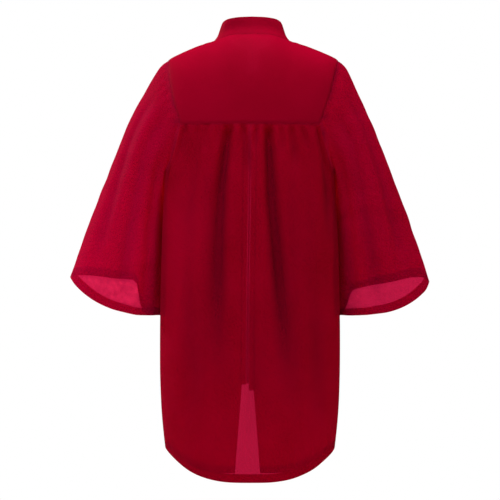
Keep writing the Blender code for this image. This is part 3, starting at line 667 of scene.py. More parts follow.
# fine ridges and creases that only the cloth shows, for each sleeve: as in the table of its folds
sleeveCreases = {
    1: table("top foot start end halfWidth depth", [
        (46, 68, 0.16, 0.78, 4.5, -0.0032),
        (55, 78, 0.20, 0.80, 6.0, 0.0030),
        (20, 26, 0.02, 0.30, 6.0, 0.0016),
        (300, 292, 0.18, 0.75, 5.0, -0.0022),
    ]),
    -1: table("top foot start end halfWidth depth", [
        (60, 70, 0.08, 0.50, 5.0, -0.0014),
        (24, 30, 0.02, 0.26, 6.0, 0.0014),
        (296, 300, 0.20, 0.70, 5.0, -0.0022),
    ]),
}
capEase = {"waves": 15, "depth": 0.0010, "reach": 0.075}


def sleeveGrid(hand, ring):
    points, normals, away = ring
    count = len(points)
    under = int(np.argmin(points[:, 2]))
    steps = np.linalg.norm(np.roll(points, -1, 0) - points, axis=1)
    length = np.concatenate([[0], np.cumsum(steps)])
    down = length[:-1] / length[under]
    up = (length[:-1] - length[under]) / (length[-1] - length[under])
    turn = np.where(np.arange(count) <= under, down, 1 + up) * math.pi

    mirrored = points * [hand, 1, 1]
    along = (0.006 + 0.994 * unevenSteps(fineness["sleeveRows"], 0.45))[:, None]
    shape = sleeveSection(along, turn[None])
    apart = mirrored[None] - sleeveSection(np.zeros((1, 1)), turn[None])
    shape = shape + apart * np.exp(-(along[..., None] / 0.16) ** 2)
    shape = shape + (away * [hand, 1, 1])[None] * (0.010 * np.exp(-(along[..., None] / 0.05) ** 2))

    degrees = np.degrees(turn)[None]
    press = np.zeros((len(along), count))
    for folds in (sleeveFolds, sleeveCreases[hand]):
        for top, foot, start, end, halfWidth, depth in zip(*folds.values()):
            r = (degrees - (top + (foot - top) * along)) / halfWidth
            reach = smooth((along - start) / 0.15) * smooth((end + 0.12 - along) / 0.25)
            press = press + depth * trough(r) * reach
    waves = sum(np.sin(k * turn[None] + 7 * k * along + hand * k) for k in (3, 4, 5, 7, 9))
    press = press + 0.0003 * waves * smooth((along - 0.04) / 0.2)
    cap = np.cos(turn[None]) > -0.2
    ease = np.sin(capEase["waves"] * turn[None] * 2 + hand) * capEase["depth"] * np.exp(-(along / capEase["reach"]) ** 2)
    press = press + ease * cap * smooth((np.cos(turn[None]) + 0.2) / 0.5) * smooth(along / 0.015)
    middle = shape.mean(1, keepdims=True)
    shape = shape - unit(shape - middle) * press[..., None]

    sideName = "Right" if hand > 0 else "Left"
    c = np.cos(turn)
    near = curve(cuffHems, "near" + sideName, c)
    hem = np.where(turn <= math.pi, near, curve(cuffHems, "far" + sideName, c))
    shift = (hem - sleeveSection(np.ones((1, 1)), turn[None])[0, :, 2]) * smooth((along - 0.45) / 0.55)
    shape[..., 2] += shift
    shape[..., 0] *= hand
    shape = clearOfBody(shape)
    start = points + away * cut["seamGap"]
    second = points + away * (cut["seamGap"] + 0.0012)
    rows = np.concatenate([start[None], second[None], shape])
    inside = rows.mean(1, keepdims=True)
    rows, seam = grooved(panelOf(rows, closed=True, inside=inside, first=normals), ["top"])
    # painted shade in the sleeves' folds and creases, by their depth
    paintedSleeveShade = np.concatenate([np.zeros((2, count)), np.clip(press / 0.0105, 0, 1) * 0.5])
    # the cap puckers a little unevenly beside the seam, and painted shade lies there, uneven along it
    far = lengths(rows, 0)
    puckerShade = 0.55 + 0.45 * np.sin(9 * turn + 2.2 * np.sin(4 * turn) + hand)
    wide = seamLook["puckerShadeWidth"] * (1 + 0.9 * smooth((0.35 - np.cos(turn)) / 0.5) * smooth(3 * np.sin(turn)))
    seam = np.maximum(seam, puckerShade * np.exp(-(far / wide) ** 2) * seamLook["puckerShade"][hand])
    # and the side that hangs against the body gets painted shade, as it lies in the body's shade
    shaded = smooth((-np.cos(turn) - 0.30) / 0.60) * smooth((along - 0.15) / 0.35) * seamLook["innerShade"]
    paintedSleeveShade[2:] = np.maximum(paintedSleeveShade[2:], shaded)
    # below the far hem the near side hangs alone; there painted light, in crinkled patches and far stronger on the
    # left, lets more light glow and pass through
    height = rows[2:, :, 2]
    alone = smooth((curve(cuffHems, "far" + sideName, c) - height) / 0.010) * smooth(3 * np.sin(turn))
    alone = alone * smooth((height - near - 0.0185) / 0.006)
    crinkle = np.sin(23 * turn + 1.7 * np.sin(82 * height)) * np.sin(180 * height + 2.3 * np.sin(13 * turn))
    paintedSleeveShade[2:] -= seamLook["paintedCuffLight"][hand] * alone * (1 + 0.9 * crinkle)
    hollow = np.where(seam > 0.02, np.maximum(paintedSleeveShade, seam), paintedSleeveShade)
    return {**panelOf(rows, closed=True, inside=inside, first=normals), "hollow": hollow}


def collarGrid(yoke, fronts):
    yokeColumns = yoke["points"].shape[1]
    edges = []
    for hand in (-1, 1):
        front = fronts[hand]
        columns = front["points"].shape[1]
        order = range(front["skipped"] + front["shoulder"], columns)[::hand]
        edges.append(edgeOf(front, [(0, c) for c in order], [(1, c) for c in order]))
    order = range(yokeColumns - fineness["shoulder"], fineness["shoulder"] - 2, -1)
    edges.insert(1, edgeOf(yoke, [(0, c) for c in order], [(1, c) for c in order]))
    points, normals, away = joined(edges)
    forward = points[:, 1] / np.where(points[:, 1] > 0, cut["neckFront"], cut["neckBack"])
    turn = np.degrees(np.arctan2(np.abs(points[:, 0]) / cut["neckHalf"], forward))
    place = [curve(collarTop, k, turn) for k in ("across", "depth", "level")]
    top = swayed(np.stack([np.sign(points[:, 0]) * place[0], place[1], place[2]], -1))
    start = points + away * (cut["seamGap"] + 0.0012)
    t = np.linspace(0, 1, fineness["collarRows"])[1:, None, None]
    rise = start + (top - start) * t + away * 0.010 * (t * (1 - t) ** 2 * 3)
    rows = np.concatenate([(points + away * cut["seamGap"])[None], start[None], rise])
    rows, seam = grooved(panelOf(rows, inside=(0, 0, 0), first=normals), ["top"])
    # painted shade along the collar's seam
    return {**panelOf(rows, inside=(0, 0, 0), first=normals), "hollow": seam}


def frontLine(z, aside=0.0):
    # down the front, aside from the middle of the zip: points of the cloth's outer face and their normals
    turns = np.linspace(neckTurn(1, aside), math.pi / 2, 60)
    high = shoulderPoint(1, np.full(60, aside), turns)
    low = np.linspace(cut["yokeLevel"], cut["hemFront"], 80)[1:]
    x = frontCentre(low) + aside
    path = np.concatenate([high, np.stack([x, depthAt(x, *halfAndDepth(1, low)), low], -1)])[::-1]
    y = np.interp(z, path[:, 2], path[:, 1])
    slope = np.interp(z, path[:, 2], np.gradient(path[:, 1], path[:, 2]))
    normal = unit(np.stack([0 * z, 1 + 0 * z, -slope], -1))
    return np.stack([frontCentre(z) + aside, y, z], -1), normal


def addNode(tree, kind, inputs=(), **settings):
    # a node with its settings, each of its inputs given a value or linked to a socket
    node = tree.nodes.new(kind)
    for name, value in settings.items():
        setattr(node, name, value)
    for name, value in dict(inputs).items():
        if isinstance(value, bpy.types.NodeSocket):
            tree.links.new(value, node.inputs[name])
        else:
            node.inputs[name].default_value = value
    return node


def calc(tree, operation, *values):
    return addNode(tree, "ShaderNodeMath", enumerate(values), operation=operation).outputs[0]


def noiseOf(tree, vector, scale, detail, stretch=(1, 1, 1)):
    place = addNode(tree, "ShaderNodeMapping", {"Vector": vector, "Scale": stretch}).outputs[0]
    return addNode(tree, "ShaderNodeTexNoise", {"Vector": place, "Scale": scale, "Detail": detail}).outputs["Fac"]


def grainIn(tree):
    return addNode(tree, "ShaderNodeUVMap", uv_map="grain").outputs[0]


def placeIn(tree):
    return addNode(tree, "ShaderNodeTexCoord").outputs["Object"]


def newTree(name, kind, ins, outs):
    # a node group with its sockets, and the outputs of its input node
    tree = bpy.data.node_groups.new(name, kind)
    for way, sockets in (("INPUT", ins), ("OUTPUT", outs)):
        for label, type_ in sockets.items():
            tree.interface.new_socket(label, in_out=way, socket_type="NodeSocket" + type_)
    return tree, addNode(tree, "NodeGroupInput").outputs


# plain weave along the cloth's own grain: how the threads and the slubs stand up, and how the shade is mottled
weaveLook = {
    "threads": 1900.0,
    "threadHeight": 0.35,
    "slubs": ((260.0, (0.35, 2.6, 1.0)), (900.0, (0.25, 1.6, 1.0))),
    "slubHeight": 0.5,
    "slubShade": 0.2,
    "mottle": 7.0,
}


def wovenGroup():
    tree, _ = newTree("plainWeave", "ShaderNodeTree", {}, {"Height": "Float", "Shade": "Float"})
    look, grain = weaveLook, grainIn(tree)
    split = addNode(tree, "ShaderNodeSeparateXYZ", {0: grain}).outputs
    waves = [calc(tree, "SINE", calc(tree, "MULTIPLY", split[axis], 2 * math.pi * look["threads"])) for axis in "XY"]
    cross = calc(tree, "MULTIPLY", *waves)
    slubs = [noiseOf(tree, grain, scale, 2.0, stretch) for scale, stretch in look["slubs"]]
    slub = calc(tree, "SUBTRACT", calc(tree, "ADD", *slubs), 1.0)
    threads = calc(tree, "MULTIPLY", cross, look["threadHeight"])
    height = calc(tree, "ADD", threads, calc(tree, "MULTIPLY", slub, look["slubHeight"]))
    mottle = noiseOf(tree, placeIn(tree), look["mottle"], 3.0)
    shade = calc(tree, "MULTIPLY_ADD", slub, look["slubShade"], mottle)
    addNode(tree, "NodeGroupOutput", {"Height": height, "Shade": shade})
    return tree


# the crimson cloth: its two shades, how sheer it is, and how far its weave stands up. The sleeves' lighter shades and
# greater sheerness are painted light, the fronts' lesser sheerness is painted shade, and the fold settings set how far
# painted shade darkens the cloth and lets less light through
gownCloth = {
    "dark": (0.395, 0.0001, 0.030, 1),
    "light": (0.470, 0.0003, 0.040, 1),
    "sleevePaintedLitDark": (0.450, 0.0008, 0.056, 1),
    "sleevePaintedLitLight": (0.530, 0.0012, 0.070, 1),
    "doubledDark": (0.440, 0.0002, 0.023, 1),
    "doubledLight": (0.520, 0.0003, 0.031, 1),
    "through": (0.97, 0.15, 0.33, 1),
    "sheer": 0.52,
    "sheerFrontsPaintedShade": 0.455,
    "sheerSleevesPaintedLit": 0.575,
    "sheerDoubled": 0.14,
    "glow": (0.80, 0.001, 0.085, 1),
    "glowShare": 0.25,
    "roughness": 0.64,
    "gloss": 0.015,
    "foldShade": 0.54,
    "foldShadeOpacity": 0.30,
    "sheen": {"Sheen Weight": 0.05, "Sheen Roughness": 0.45, "Sheen Tint": (1.0, 0.10, 0.20, 1)},
    "bump": 0.00005,
    "yarn": {"scale": 480.0, "stretch": (0.45, 1.9, 1.0), "uneven": 0.05},
}
threadLook = {
    "dark": (0.30, 0.001, 0.016, 1),
    "light": (0.42, 0.002, 0.026, 1),
    "roughness": 0.6,
    "gloss": 0.08,
    "bump": 0.00006,
}
tapeLook = {
    "dark": (0.30, 0.0005, 0.018, 1),
    "light": (0.42, 0.0010, 0.028, 1),
    "roughness": 0.8,
    "gloss": 0.03,
    "bump": 0.00018,
    "sheer": 0.49,
    "ribs": 330.0,
    "wobble": 0.6,
}
coilLook = {
    "dark": (0.36, 0.002, 0.020, 1),
    "light": (0.46, 0.003, 0.030, 1),
    "roughness": 0.38,
    "gloss": 0.20,
    "bump": 0.00003,
    "sheer": 0.31,
}
nickelLook = {
    "dark": (0.42, 0.40, 0.37, 1),
    "light": (0.66, 0.64, 0.60, 1),
    "roughness": 0.28,
    "gloss": 0.5,
    "bump": 0.00002,
}


def mixed(tree, share, first, second):
    # a colour between two colours
    return addNode(tree, "ShaderNodeMix", {0: share, 6: first, 7: second}, data_type="RGBA").outputs[2]


def spread(tree, value, low, high, least=0.0, most=1.0):
    spans = {"Value": value, "From Min": low, "From Max": high, "To Min": least, "To Max": most}
    return addNode(tree, "ShaderNodeMapRange", spans).outputs[0]


def newMaterial(name, look, metallic=0.0):
    material = bpy.data.materials.new(name)
    material.use_nodes = True
    shader = material.node_tree.nodes["Principled BSDF"]
    shader.inputs["Roughness"].default_value = look["roughness"]
    shader.inputs["Specular IOR Level"].default_value = look["gloss"]
    shader.inputs["Metallic"].default_value = metallic
    return material, material.node_tree, shader


def dress(tree, shader, colour, height, bump):
    # gives a surface its colour and its bump
    raised = addNode(tree, "ShaderNodeBump", {"Distance": bump, "Height": height}).outputs[0]
    tree.links.new(colour, shader.inputs["Base Color"])
    tree.links.new(raised, shader.inputs["Normal"])
    return raised


def letThrough(tree, surface, share):
    # a share of the light goes straight through, tinted by the dye
    clear = addNode(tree, "ShaderNodeBsdfTransparent", {"Color": gownCloth["through"]}).outputs[0]
    whole = addNode(tree, "ShaderNodeMixShader", {0: share, 1: surface, 2: clear}).outputs[0]
    tree.links.new(whole, tree.nodes["Material Output"].inputs["Surface"])


def clothMaterial(name, sheer, tones):
    look, yarn = gownCloth, gownCloth["yarn"]
    dark, light = [look[tone] for tone in tones]
    material, tree, shader = newMaterial(name, look)
    woven = addNode(tree, "ShaderNodeGroup", node_tree=weave).outputs
    # painted shade from the mesh darkens the colour toward deep and lessens the glow; below zero, at the far cuffs, it
    # is painted light that adds glow
    hollow = addNode(tree, "ShaderNodeAttribute", attribute_name="hollow").outputs["Fac"]
    deep = tuple(c * look["foldShade"] for c in dark[:3]) + (1,)
    tone = mixed(tree, hollow, mixed(tree, spread(tree, woven["Shade"], 0.3, 0.7), dark, light), deep)
    raised = dress(tree, shader, tone, woven["Height"], look["bump"])
    for label, value in look["sheen"].items():
        shader.inputs[label].default_value = value
    glow = addNode(tree, "ShaderNodeBsdfTranslucent", {"Color": look["glow"], "Normal": raised}).outputs[0]
    lit = calc(tree, "MULTIPLY_ADD", hollow, -look["glowShare"], look["glowShare"])
    body = addNode(tree, "ShaderNodeMixShader", {0: lit, 1: shader.outputs[0], 2: glow}).outputs[0]
    # the gaps between the threads let light straight through, unevenly where the yarn is uneven
    noise = noiseOf(tree, grainIn(tree), yarn["scale"], 2.0, yarn["stretch"])
    gaps = spread(tree, noise, 0.3, 0.7, sheer - yarn["uneven"], sheer + yarn["uneven"])
    # less light goes straight through in painted shade, more in the far cuffs' painted light
    throughAfterPainting = calc(tree, "MULTIPLY_ADD", hollow, -look["foldShadeOpacity"], 1.0)
    letThrough(tree, body, calc(tree, "MULTIPLY", gaps, throughAfterPainting))
    return material


def solidMaterial(name, look, scale, metallic=0.0, stretch=(1, 1, 1)):
    material, tree, shader = newMaterial(name, look, metallic)
    noise = noiseOf(tree, placeIn(tree), scale, 3.0, stretch)
    dress(tree, shader, mixed(tree, spread(tree, noise, 0.3, 0.7), look["dark"], look["light"]), noise, look["bump"])
    if "sheer" in look:
        letThrough(tree, shader.outputs[0], look["sheer"])
    return material


def tapeMaterial():
    # herringbone ribs along the tape
    look = tapeLook
    material, tree, shader = newMaterial("zipTapeCloth", look)
    ribs = addNode(tree, "ShaderNodeTexWave", {
        "Vector": grainIn(tree),
        "Scale": look["ribs"],
        "Distortion": look["wobble"],
    }, wave_type="BANDS", bands_direction="DIAGONAL").outputs["Fac"]
    dress(tree, shader, mixed(tree, spread(tree, ribs, 0.0, 1.0), look["dark"], look["light"]), ribs, look["bump"])
    letThrough(tree, shader.outputs[0], look["sheer"])
    return material


weave = wovenGroup()
crimson = clothMaterial("crimsonPolyester", gownCloth["sheer"], ("dark", "light"))
# the fronts' copy is less sheer: painted shade
frontCrimsonPaintedShade = clothMaterial("crimsonPolyesterFrontsPaintedShade", gownCloth["sheerFrontsPaintedShade"], ("dark", "light"))
# the sleeves' copy is lighter and sheerer: painted light
sleeveCrimsonPaintedLit = clothMaterial("crimsonPolyesterSleevesPaintedLit", gownCloth["sheerSleevesPaintedLit"], ("sleevePaintedLitDark", "sleevePaintedLitLight"))
doubled = clothMaterial("crimsonPolyesterDoubled", gownCloth["sheerDoubled"], ("doubledDark", "doubledLight"))
thread = solidMaterial("crimsonThread", threadLook, 2200.0, stretch=(1, 1, 0.3))
tapeCloth = tapeMaterial()
coil = solidMaterial("nylonCoil", coilLook, 900.0)
nickel = solidMaterial("nickelPlate", nickelLook, 700.0, metallic=1.0, stretch=(0.3, 1, 1))
print("materials made")

# the pieces of cloth
yoke = yokeGrid()
back = backGrid()
sides = {1: "right", -1: "left"}
fronts = {side: frontGrid(side) for side in sides}
sleeves = {side: sleeveGrid(side, armholeRing(side, yoke, back, fronts[side])) for side in sides}
collar = collarGrid(yoke, fronts)

pieces = {"yoke_cloth": addShell("yoke_cloth", yoke, cloth["wall"], doubled)}
pieces["back_cloth"] = addShell("back_cloth", turnedUp(back, cloth["hemRows"]), cloth["wall"], crimson)
for side, name in sides.items():
    hemmed = turnedUp(fronts[side], cloth["hemRows"])
    pieces["front_cloth_" + name] = addShell("front_cloth_" + name, hemmed, cloth["wall"], frontCrimsonPaintedShade)
    cuffed = turnedUp(sleeves[side], cloth["cuffRows"])
    pieces["sleeve_cloth_" + name] = addShell("sleeve_cloth_" + name, cuffed, cloth["wall"], sleeveCrimsonPaintedLit)
pieces["collar_cloth"] = addShell("collar_cloth", collar, cloth["collarWall"], doubled)
print("cloth made")

# the zip behind the fronts
zipLook = {
    "tapeTop": -0.0700,
    "tapeFoot": {"left": -0.8823, "right": -0.8976},
    "tapeInner": 0.0036,
    "tapeOuter": 0.0185,
    "tapeWall": 0.0009,
    "tapeRidge": 0.00012,
    "chainTop": -0.0740,
    "chainFoot": -0.8790,
    "behind": -(cut["solidWall"] + cut["seamGap"]),
    "chainLift": 0.0007,
    "chainWall": 0.0024,
    "toothPitch": 0.0015,
    "toothAside": 0.0016,
    "toothSize": (0.0042, 0.0021, 0.00145),
}


def addTape(name, sign):
    foot = zipLook["tapeFoot"][name]
    levels = np.concatenate([np.linspace(zipLook["tapeTop"], -0.24, 50), np.linspace(-0.24, foot, 130)[1:]])
    asides = np.linspace(*sorted((sign * zipLook["tapeInner"], sign * zipLook["tapeOuter"])), 7)
    lines = [frontLine(levels, aside) for aside in asides]
    # both edges and the middle stand a little proud of the rest
    proud = zipLook["tapeRidge"] * (np.cos(np.linspace(0, 4 * math.pi, 7)) - 1)
    points = np.stack([at + normal * (zipLook["behind"] + lift) for (at, normal), lift in zip(lines, proud)], 1)
    # the sewn edge goes with the front, which lies a little aside under the collar
    sewn = (np.abs(asides) - zipLook["tapeInner"]) / (zipLook["tapeOuter"] - zipLook["tapeInner"])
    points[..., 0] += curve(shoulderSway, "aside", levels)[:, None] * sewn
    return addShell("zip_tape_cloth_" + name, panelOf(points), zipLook["tapeWall"], tapeCloth)


def alongPath(name, ins, beads, segments, rings):
    # a tree that sets round beads at every pitch along the paths, upright on them, as one mesh
    ins = {"Geometry": "Geometry", "Pitch": "Float", "Size": "Vector", "Material": "Material", **ins}
    tree, given = newTree(name, "GeometryNodeTree", ins, {"Geometry": "Geometry"})

    def made(kind, inputs=(), **settings):
        return addNode(tree, kind, inputs, **settings).outputs[0]

    shapes = []
    for place in beads:
        ball = made("GeometryNodeMeshUVSphere", {"Segments": segments, "Rings": rings, "Radius": 0.5})
        stretched = {"Geometry": ball, "Scale": given["Size"]}
        if place:
            stretched["Translation"] = given[place]
        shapes.append(made("GeometryNodeTransform", stretched))
    both = addNode(tree, "GeometryNodeJoinGeometry")
    for shape in shapes:
        tree.links.new(shape, both.inputs[0])
    path = made("GeometryNodeMeshToCurve", {0: given["Geometry"]})
    steps = made("GeometryNodeResampleCurve", {"Curve": path, "Length": given["Pitch"]}, mode="LENGTH")
    turn = made("FunctionNodeAlignRotationToVector", {"Vector": made("GeometryNodeInputTangent")}, axis="Z")
    spots = {"Points": steps, "Instance": both.outputs[0], "Rotation": turn}
    real = made("GeometryNodeRealizeInstances", {0: made("GeometryNodeInstanceOnPoints", spots)})
    soft = made("GeometryNodeSetShadeSmooth", {0: real})
    whole = made("GeometryNodeSetMaterial", {"Geometry": soft, "Material": given["Material"]})
    addNode(tree, "NodeGroupOutput", {0: whole})
    return tree


def addAlong(name, tree, values, paths):
    # paths are pairs of a list of points and whether the path is closed
    points, edges = [], []
    for path, closed in paths:
        first = len(points)
        points += [tuple(p) for p in path]
        edges += [(first + i, first + i + 1) for i in range(len(path) - 1)]
        if closed:
            edges.append((len(points) - 1, first))
    mesh = bpy.data.meshes.new(name + "_path")
    mesh.from_pydata(points, edges, [])
    obj = addObject(name, mesh)
    modifier = obj.modifiers.new("along", "NODES")
    modifier.node_group = tree
    for item in tree.interface.items_tree:
        if item.item_type == "SOCKET" and item.in_out == "INPUT" and item.name in values:
            modifier[item.identifier] = values[item.name]
    bpy.context.view_layer.update()
    whole = bpy.data.meshes.new_from_object(obj.evaluated_get(bpy.context.evaluated_depsgraph_get()))
    obj.modifiers.clear()
    obj.data = whole
    if not whole.materials:
        whole.materials.append(values["Material"])
    return obj


# topstitching along the hems, the cuffs, the collar and beside the zip: lengths in metres
stitching = {
    "pitch": 0.0034,
    "size": (0.00042, 0.00042, 0.0028),
    "lift": 0.00010,
    "hem": 0.0185,
    "cuff": 0.0210,
    "collar": 0.0035,
    "zip": 0.0060,
}


def lineBeside(panel, edge, distance):
    # a line on the cloth, that far from one edge of its grid
    points = panel["points"] + panel["normals"] * stitching["lift"]
    if edge == "last":
        points = points.transpose(1, 0, 2)
    if edge != "top":
        points = points[::-1]
    far = lengths(points, 0)
    i = np.maximum((far < distance).sum(0) - 1, 0)
    c = np.arange(points.shape[1])
    t = ((distance - far[i, c]) / np.maximum(far[i + 1, c] - far[i, c], 1e-9))[:, None]
    return points[i, c] * (1 - t) + points[i + 1, c] * t


def addStitches():
    rows = [(back, "bottom", "hem", False)]
    for side in sides:
        rows += [(fronts[side], "bottom", "hem", False), (sleeves[side], "bottom", "cuff", True)]
        rows += [(fronts[side], "last", "zip", False)]
    rows += [(collar, "bottom", "collar", False), (collar, "top", "collar", False)]
    paths = [(lineBeside(panel, edge, stitching[distance]), closed) for panel, edge, distance, closed in rows]
    values = {"Pitch": stitching["pitch"], "Size": stitching["size"], "Material": thread}
    return addAlong("topstitching", alongPath("stitchRow", {}, [None], 6, 4), values, paths)


def addCoil():
    # two rows of coil turns that mesh, each half a pitch from the other
    top, foot = zipLook["chainTop"], zipLook["chainFoot"]
    levels = np.concatenate([np.linspace(top, -0.24, 40), np.linspace(-0.24, foot, 110)[1:]])
    middle, normal = frontLine(levels)
    path = middle + normal * (zipLook["behind"] + zipLook["chainLift"] - zipLook["chainWall"] / 2)
    pitch, aside = zipLook["toothPitch"], zipLook["toothAside"]
    values = {
        "Pitch": pitch,
        "Size": zipLook["toothSize"],
        "Aside": (-aside, 0, pitch / 4),
        "Back": (aside, 0, -pitch / 4),
        "Material": coil,
    }
    tree = alongPath("zipCoil", {"Aside": "Vector", "Back": "Vector"}, ["Aside", "Back"], 8, 5)
    return addAlong("zip_coil_teeth", tree, values, [(path, False)])


def plate(outline, base, thick, round_):
    # a flat piece from its outline in the zip's plane, with rounded edges
    bm = bmesh.new()
    ring = [bm.verts.new((x, base, z)) for x, z in outline]
    face = bm.faces.new(ring)
    grown = bmesh.ops.extrude_face_region(bm, geom=[face])["geom"]
    bmesh.ops.translate(bm, vec=(0, thick, 0), verts=[g for g in grown if isinstance(g, bmesh.types.BMVert)])
    bmesh.ops.recalc_face_normals(bm, faces=bm.faces)
    sharp = [e for e in bm.edges if e.calc_face_angle(0) > math.radians(40)]
    bmesh.ops.bevel(bm, geom=sharp, offset=round_, segments=3, profile=0.5, affect="EDGES")
    return bm


def rod(path, radius, sides, closed):
    # a round wire through a few points
    bm = bmesh.new()
    path = np.array(path, float)
    onward = (np.roll(path, -1, 0) - np.roll(path, 1, 0)) if closed else np.gradient(path, axis=0)
    rings = []
    for point, along in zip(path, unit(onward)):
        aside = np.array([0.0, 1.0, 0.0]) if abs(along[1]) < 0.9 else np.array([1.0, 0.0, 0.0])
        u = unit(np.cross(along, aside))
        v = np.cross(along, u)
        turns = np.linspace(0, 2 * math.pi, sides, endpoint=False)
        rings.append([bm.verts.new(point + radius * (math.cos(t) * u + math.sin(t) * v)) for t in turns])
    last = len(rings) if closed else len(rings) - 1
    for i in range(last):
        here, there = rings[i], rings[(i + 1) % len(rings)]
        for k in range(sides):
            bm.faces.new((here[k], here[(k + 1) % sides], there[(k + 1) % sides], there[k]))
    if not closed:
        bm.faces.new(rings[0][::-1])
        bm.faces.new(rings[-1])
    bmesh.ops.recalc_face_normals(bm, faces=bm.faces)
    return bm


def addMetal(name, parts, place):
    whole = bmesh.new()
    for bm in parts:
        mesh = bpy.data.meshes.new("bit")
        bm.to_mesh(mesh)
        bm.free()
        whole.from_mesh(mesh)
        bpy.data.meshes.remove(mesh)
    bmesh.ops.transform(whole, matrix=place, verts=whole.verts)
    mesh = bpy.data.meshes.new(name)
    whole.to_mesh(mesh)
    whole.free()
    mesh.shade_smooth()
    mesh.set_sharp_from_angle(angle=math.radians(45))
    mesh.materials.append(nickel)
    return addObject(name, mesh)


def roundedEnd(half, foot, count):
    turns = np.linspace(0, math.pi, count)
    return [(half * math.cos(t), foot + half * (1 - math.sin(t))) for t in turns]


def addSliderAndPull():
    level = np.array([zipLook["tapeTop"] - 0.012])
    middle, normal = frontLine(level)
    tilt = math.atan2(normal[0, 2], normal[0, 1])
    place = Matrix.Translation(middle[0]) @ Matrix.Rotation(tilt, 4, "X")
    base = zipLook["behind"] + zipLook["chainLift"] + cut["seamGap"]
    mm = 0.001
    shield = [(-3.4, 6.4), (3.4, 6.4), (4.6, 4.0), (4.5, 0.5), (3.4, -3.2), (2.9, -6.4), (-2.9, -6.4), (-3.4, -3.2),
              (-4.5, 0.5), (-4.6, 4.0)]
    rib = [(-2.6, 4.4), (2.6, 4.4), (3.0, 1.5), (1.9, -4.4), (-1.9, -4.4), (-3.0, 1.5)]
    arch = [(0, 2.4, 3.9), (0, 4.4, 4.0), (0, 6.0, 3.6), (0, 6.7, 2.4), (0, 6.8, 0.8), (0, 6.8, -0.8), (0, 6.7, -2.4),
            (0, 6.0, -3.6), (0, 4.4, -4.0), (0, 2.4, -3.9)]
    body = addMetal("slider_body", [
        plate([(x * mm, z * mm) for x, z in shield], base, 2.6 * mm, 0.45 * mm),
        plate([(x * mm, z * mm) for x, z in rib], base + 2.2 * mm, 0.9 * mm, 0.30 * mm),
        rod([(x * mm, base + y * mm, z * mm) for x, y, z in arch], 0.62 * mm, 10, False),
    ], place)
    hinge = place @ Matrix.Translation((0, base + 0.0048, -0.0016))
    loop = [(-2.3, 0.3), (-1.2, 0.55), (1.2, 0.55), (2.3, 0.3), (2.5, -1.5), (2.5, -6.5), (2.2, -8.2), (1.0, -8.6),
            (-1.0, -8.6), (-2.2, -8.2), (-2.5, -6.5), (-2.5, -1.5)]
    tab = [(-2.1 * mm, -8.0 * mm), (-3.0 * mm, -12.0 * mm)]
    tab += [(-x * mm, z * mm) for x, z in roundedEnd(3.0, -24.4, 13)]
    tab += [(3.0 * mm, -12.0 * mm), (2.1 * mm, -8.0 * mm)]
    grip = [(-1.7 * mm, -13.0 * mm), (1.7 * mm, -13.0 * mm), (1.7 * mm, -21.0 * mm), (-1.7 * mm, -21.0 * mm)]
    pull = addMetal("pull_tab_metal", [
        rod([(x * mm, 0, z * mm) for x, z in loop], 0.58 * mm, 10, True),
        plate(tab, -0.55 * mm, 1.1 * mm, 0.28 * mm),
        plate(grip, 0.35 * mm, 0.35 * mm, 0.15 * mm),
    ], hinge)
    return body, pull


tapes = {name: addTape(name, side) for side, name in sides.items()}
coilTeeth = addCoil()
stitches = addStitches()
slider, pull = addSliderAndPull()
print("zip and stitches made")

for piece, node, body, finish in (
    (tapes["left"], "zip_tape_left", "gown", "zip_tape"),
    (tapes["right"], "zip_tape_right", "gown", "zip_tape"),
    (coilTeeth, "zip_chain", "gown", "zip_coil"),
    (slider, "zip_slider", "gown", "nickel"),
    (pull, "zip_pull", "pull_tab", "nickel"),
    (stitches, None, "gown", "crimson_polyester"),
):
    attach(piece, body)
    if node:
        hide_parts(node)

stands = {
    "yoke_cloth": ("back_yoke", (0.51, 0.27), "draped", 0.104),
    "back_cloth": ("back_panel", (0.78, 0.91), "gathered", 0.53),
    "front_cloth_left": ("front_left", (0.34, 1.17), "hung", 0.285),
    "front_cloth_right": ("front_right", (0.34, 1.17), "hung", 0.285),
    "sleeve_cloth_left": ("sleeve_left", (0.77, 0.63), "hung", 0.315),
    "sleeve_cloth_right": ("sleeve_right", (0.77, 0.63), "hung", 0.315),
    "collar_cloth": ("collar", (0.55, 0.06), "stretched", 0.0225),
}
for name, (node, flat, held, area) in stands.items():
    piece = pieces[name]
    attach(piece, "gown")
    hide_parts(node)

# a plain pale floor under the hem, and soft studio light
studio = {"floor": -1.42, "radius": 2.3, "shade": (0.86, 0.86, 0.86, 1), "white": 1.0, "fill": 0.03}


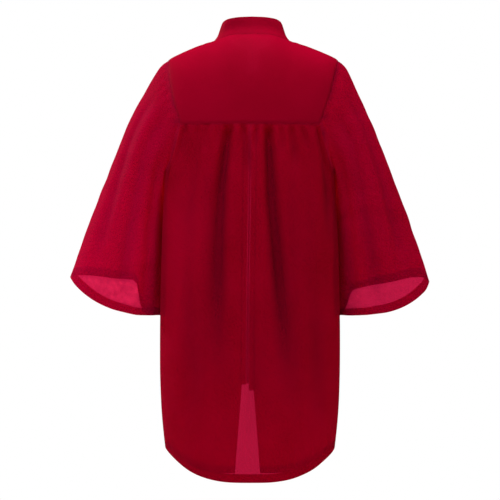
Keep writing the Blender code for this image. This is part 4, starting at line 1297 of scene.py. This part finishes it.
def makeStage():
    bpy.ops.mesh.primitive_circle_add(vertices=96, radius=studio["radius"], fill_type="NGON")
    floor = bpy.context.object
    floor.name = "studio_floor"
    floor.data.transform(Matrix.Translation((0, 0, studio["floor"])))
    material, _, shader = newMaterial("paleFloor", {"roughness": 0.8, "gloss": 0.5})
    shader.inputs["Base Color"].default_value = studio["shade"]
    floor.data.materials.append(material)

    world = bpy.data.worlds.new("studioLight")
    bpy.context.scene.world = world
    world.use_nodes = True
    tree = world.node_tree
    tree.nodes.clear()
    # the lens sees white round the gown, which gets only the fill
    seen = addNode(tree, "ShaderNodeLightPath").outputs["Is Camera Ray"]
    glows = [{"Color": (1, 1, 1, 1), "Strength": studio[name]} for name in ("fill", "white")]
    fill, white = [addNode(tree, "ShaderNodeBackground", glow).outputs[0] for glow in glows]
    mix = addNode(tree, "ShaderNodeMixShader", {0: seen, 1: fill, 2: white}).outputs[0]
    addNode(tree, "ShaderNodeOutputWorld", {"Surface": mix})


lamps = {
    "key": {"at": (-3.2, 1.6, 1.0), "power": 82, "size": 1.2},
    "top": {"at": (-0.4, -0.8, 2.5), "power": 55, "size": 1.2},
    "topFront": {"at": (0.0, -1.8, 2.6), "power": 57, "size": 1.2},
    "side": {"at": (3.6, -0.3, 0.8), "power": 19, "size": 1.2},
    "sleeve": {"at": (-2.6, -3.2, -0.6), "power": 520, "size": 0.3, "aim": (-0.44, 0.0, -0.50), "cone": 9},
}


def addLamp(name, at, power, size, aim=(0, 0, -0.5), cone=None):
    # a soft square lamp, or a spot with a soft edge where a cone in degrees is given
    light = bpy.data.lights.new(name, "SPOT" if cone else "AREA")
    light.energy = power
    if cone:
        light.spot_size, light.spot_blend, light.shadow_soft_size = math.radians(cone), 1.0, size
    else:
        light.size = size
    lamp = addObject(name, light)
    lamp.location = at
    lamp.rotation_euler = (Vector(aim) - Vector(at)).to_track_quat("-Z", "Y").to_euler()


makeStage()
for name, lamp in lamps.items():
    addLamp(name, **lamp)

view = {"away": 6.0, "level": -0.5304, "width": 1.275, "sensor": 36}
lens = bpy.data.cameras.new("camera")
lens.sensor_width = view["sensor"]
lens.lens = view["sensor"] * view["away"] / view["width"]
camera = addObject("camera", lens)
camera.location = (0, -view["away"], view["level"])
camera.rotation_euler = (math.pi / 2, 0, 0)
bpy.context.scene.camera = camera
bpy.context.scene.view_settings.view_transform = "Standard"
bpy.context.scene.cycles.transparent_max_bounces = 32
print("stage, lights and camera made")
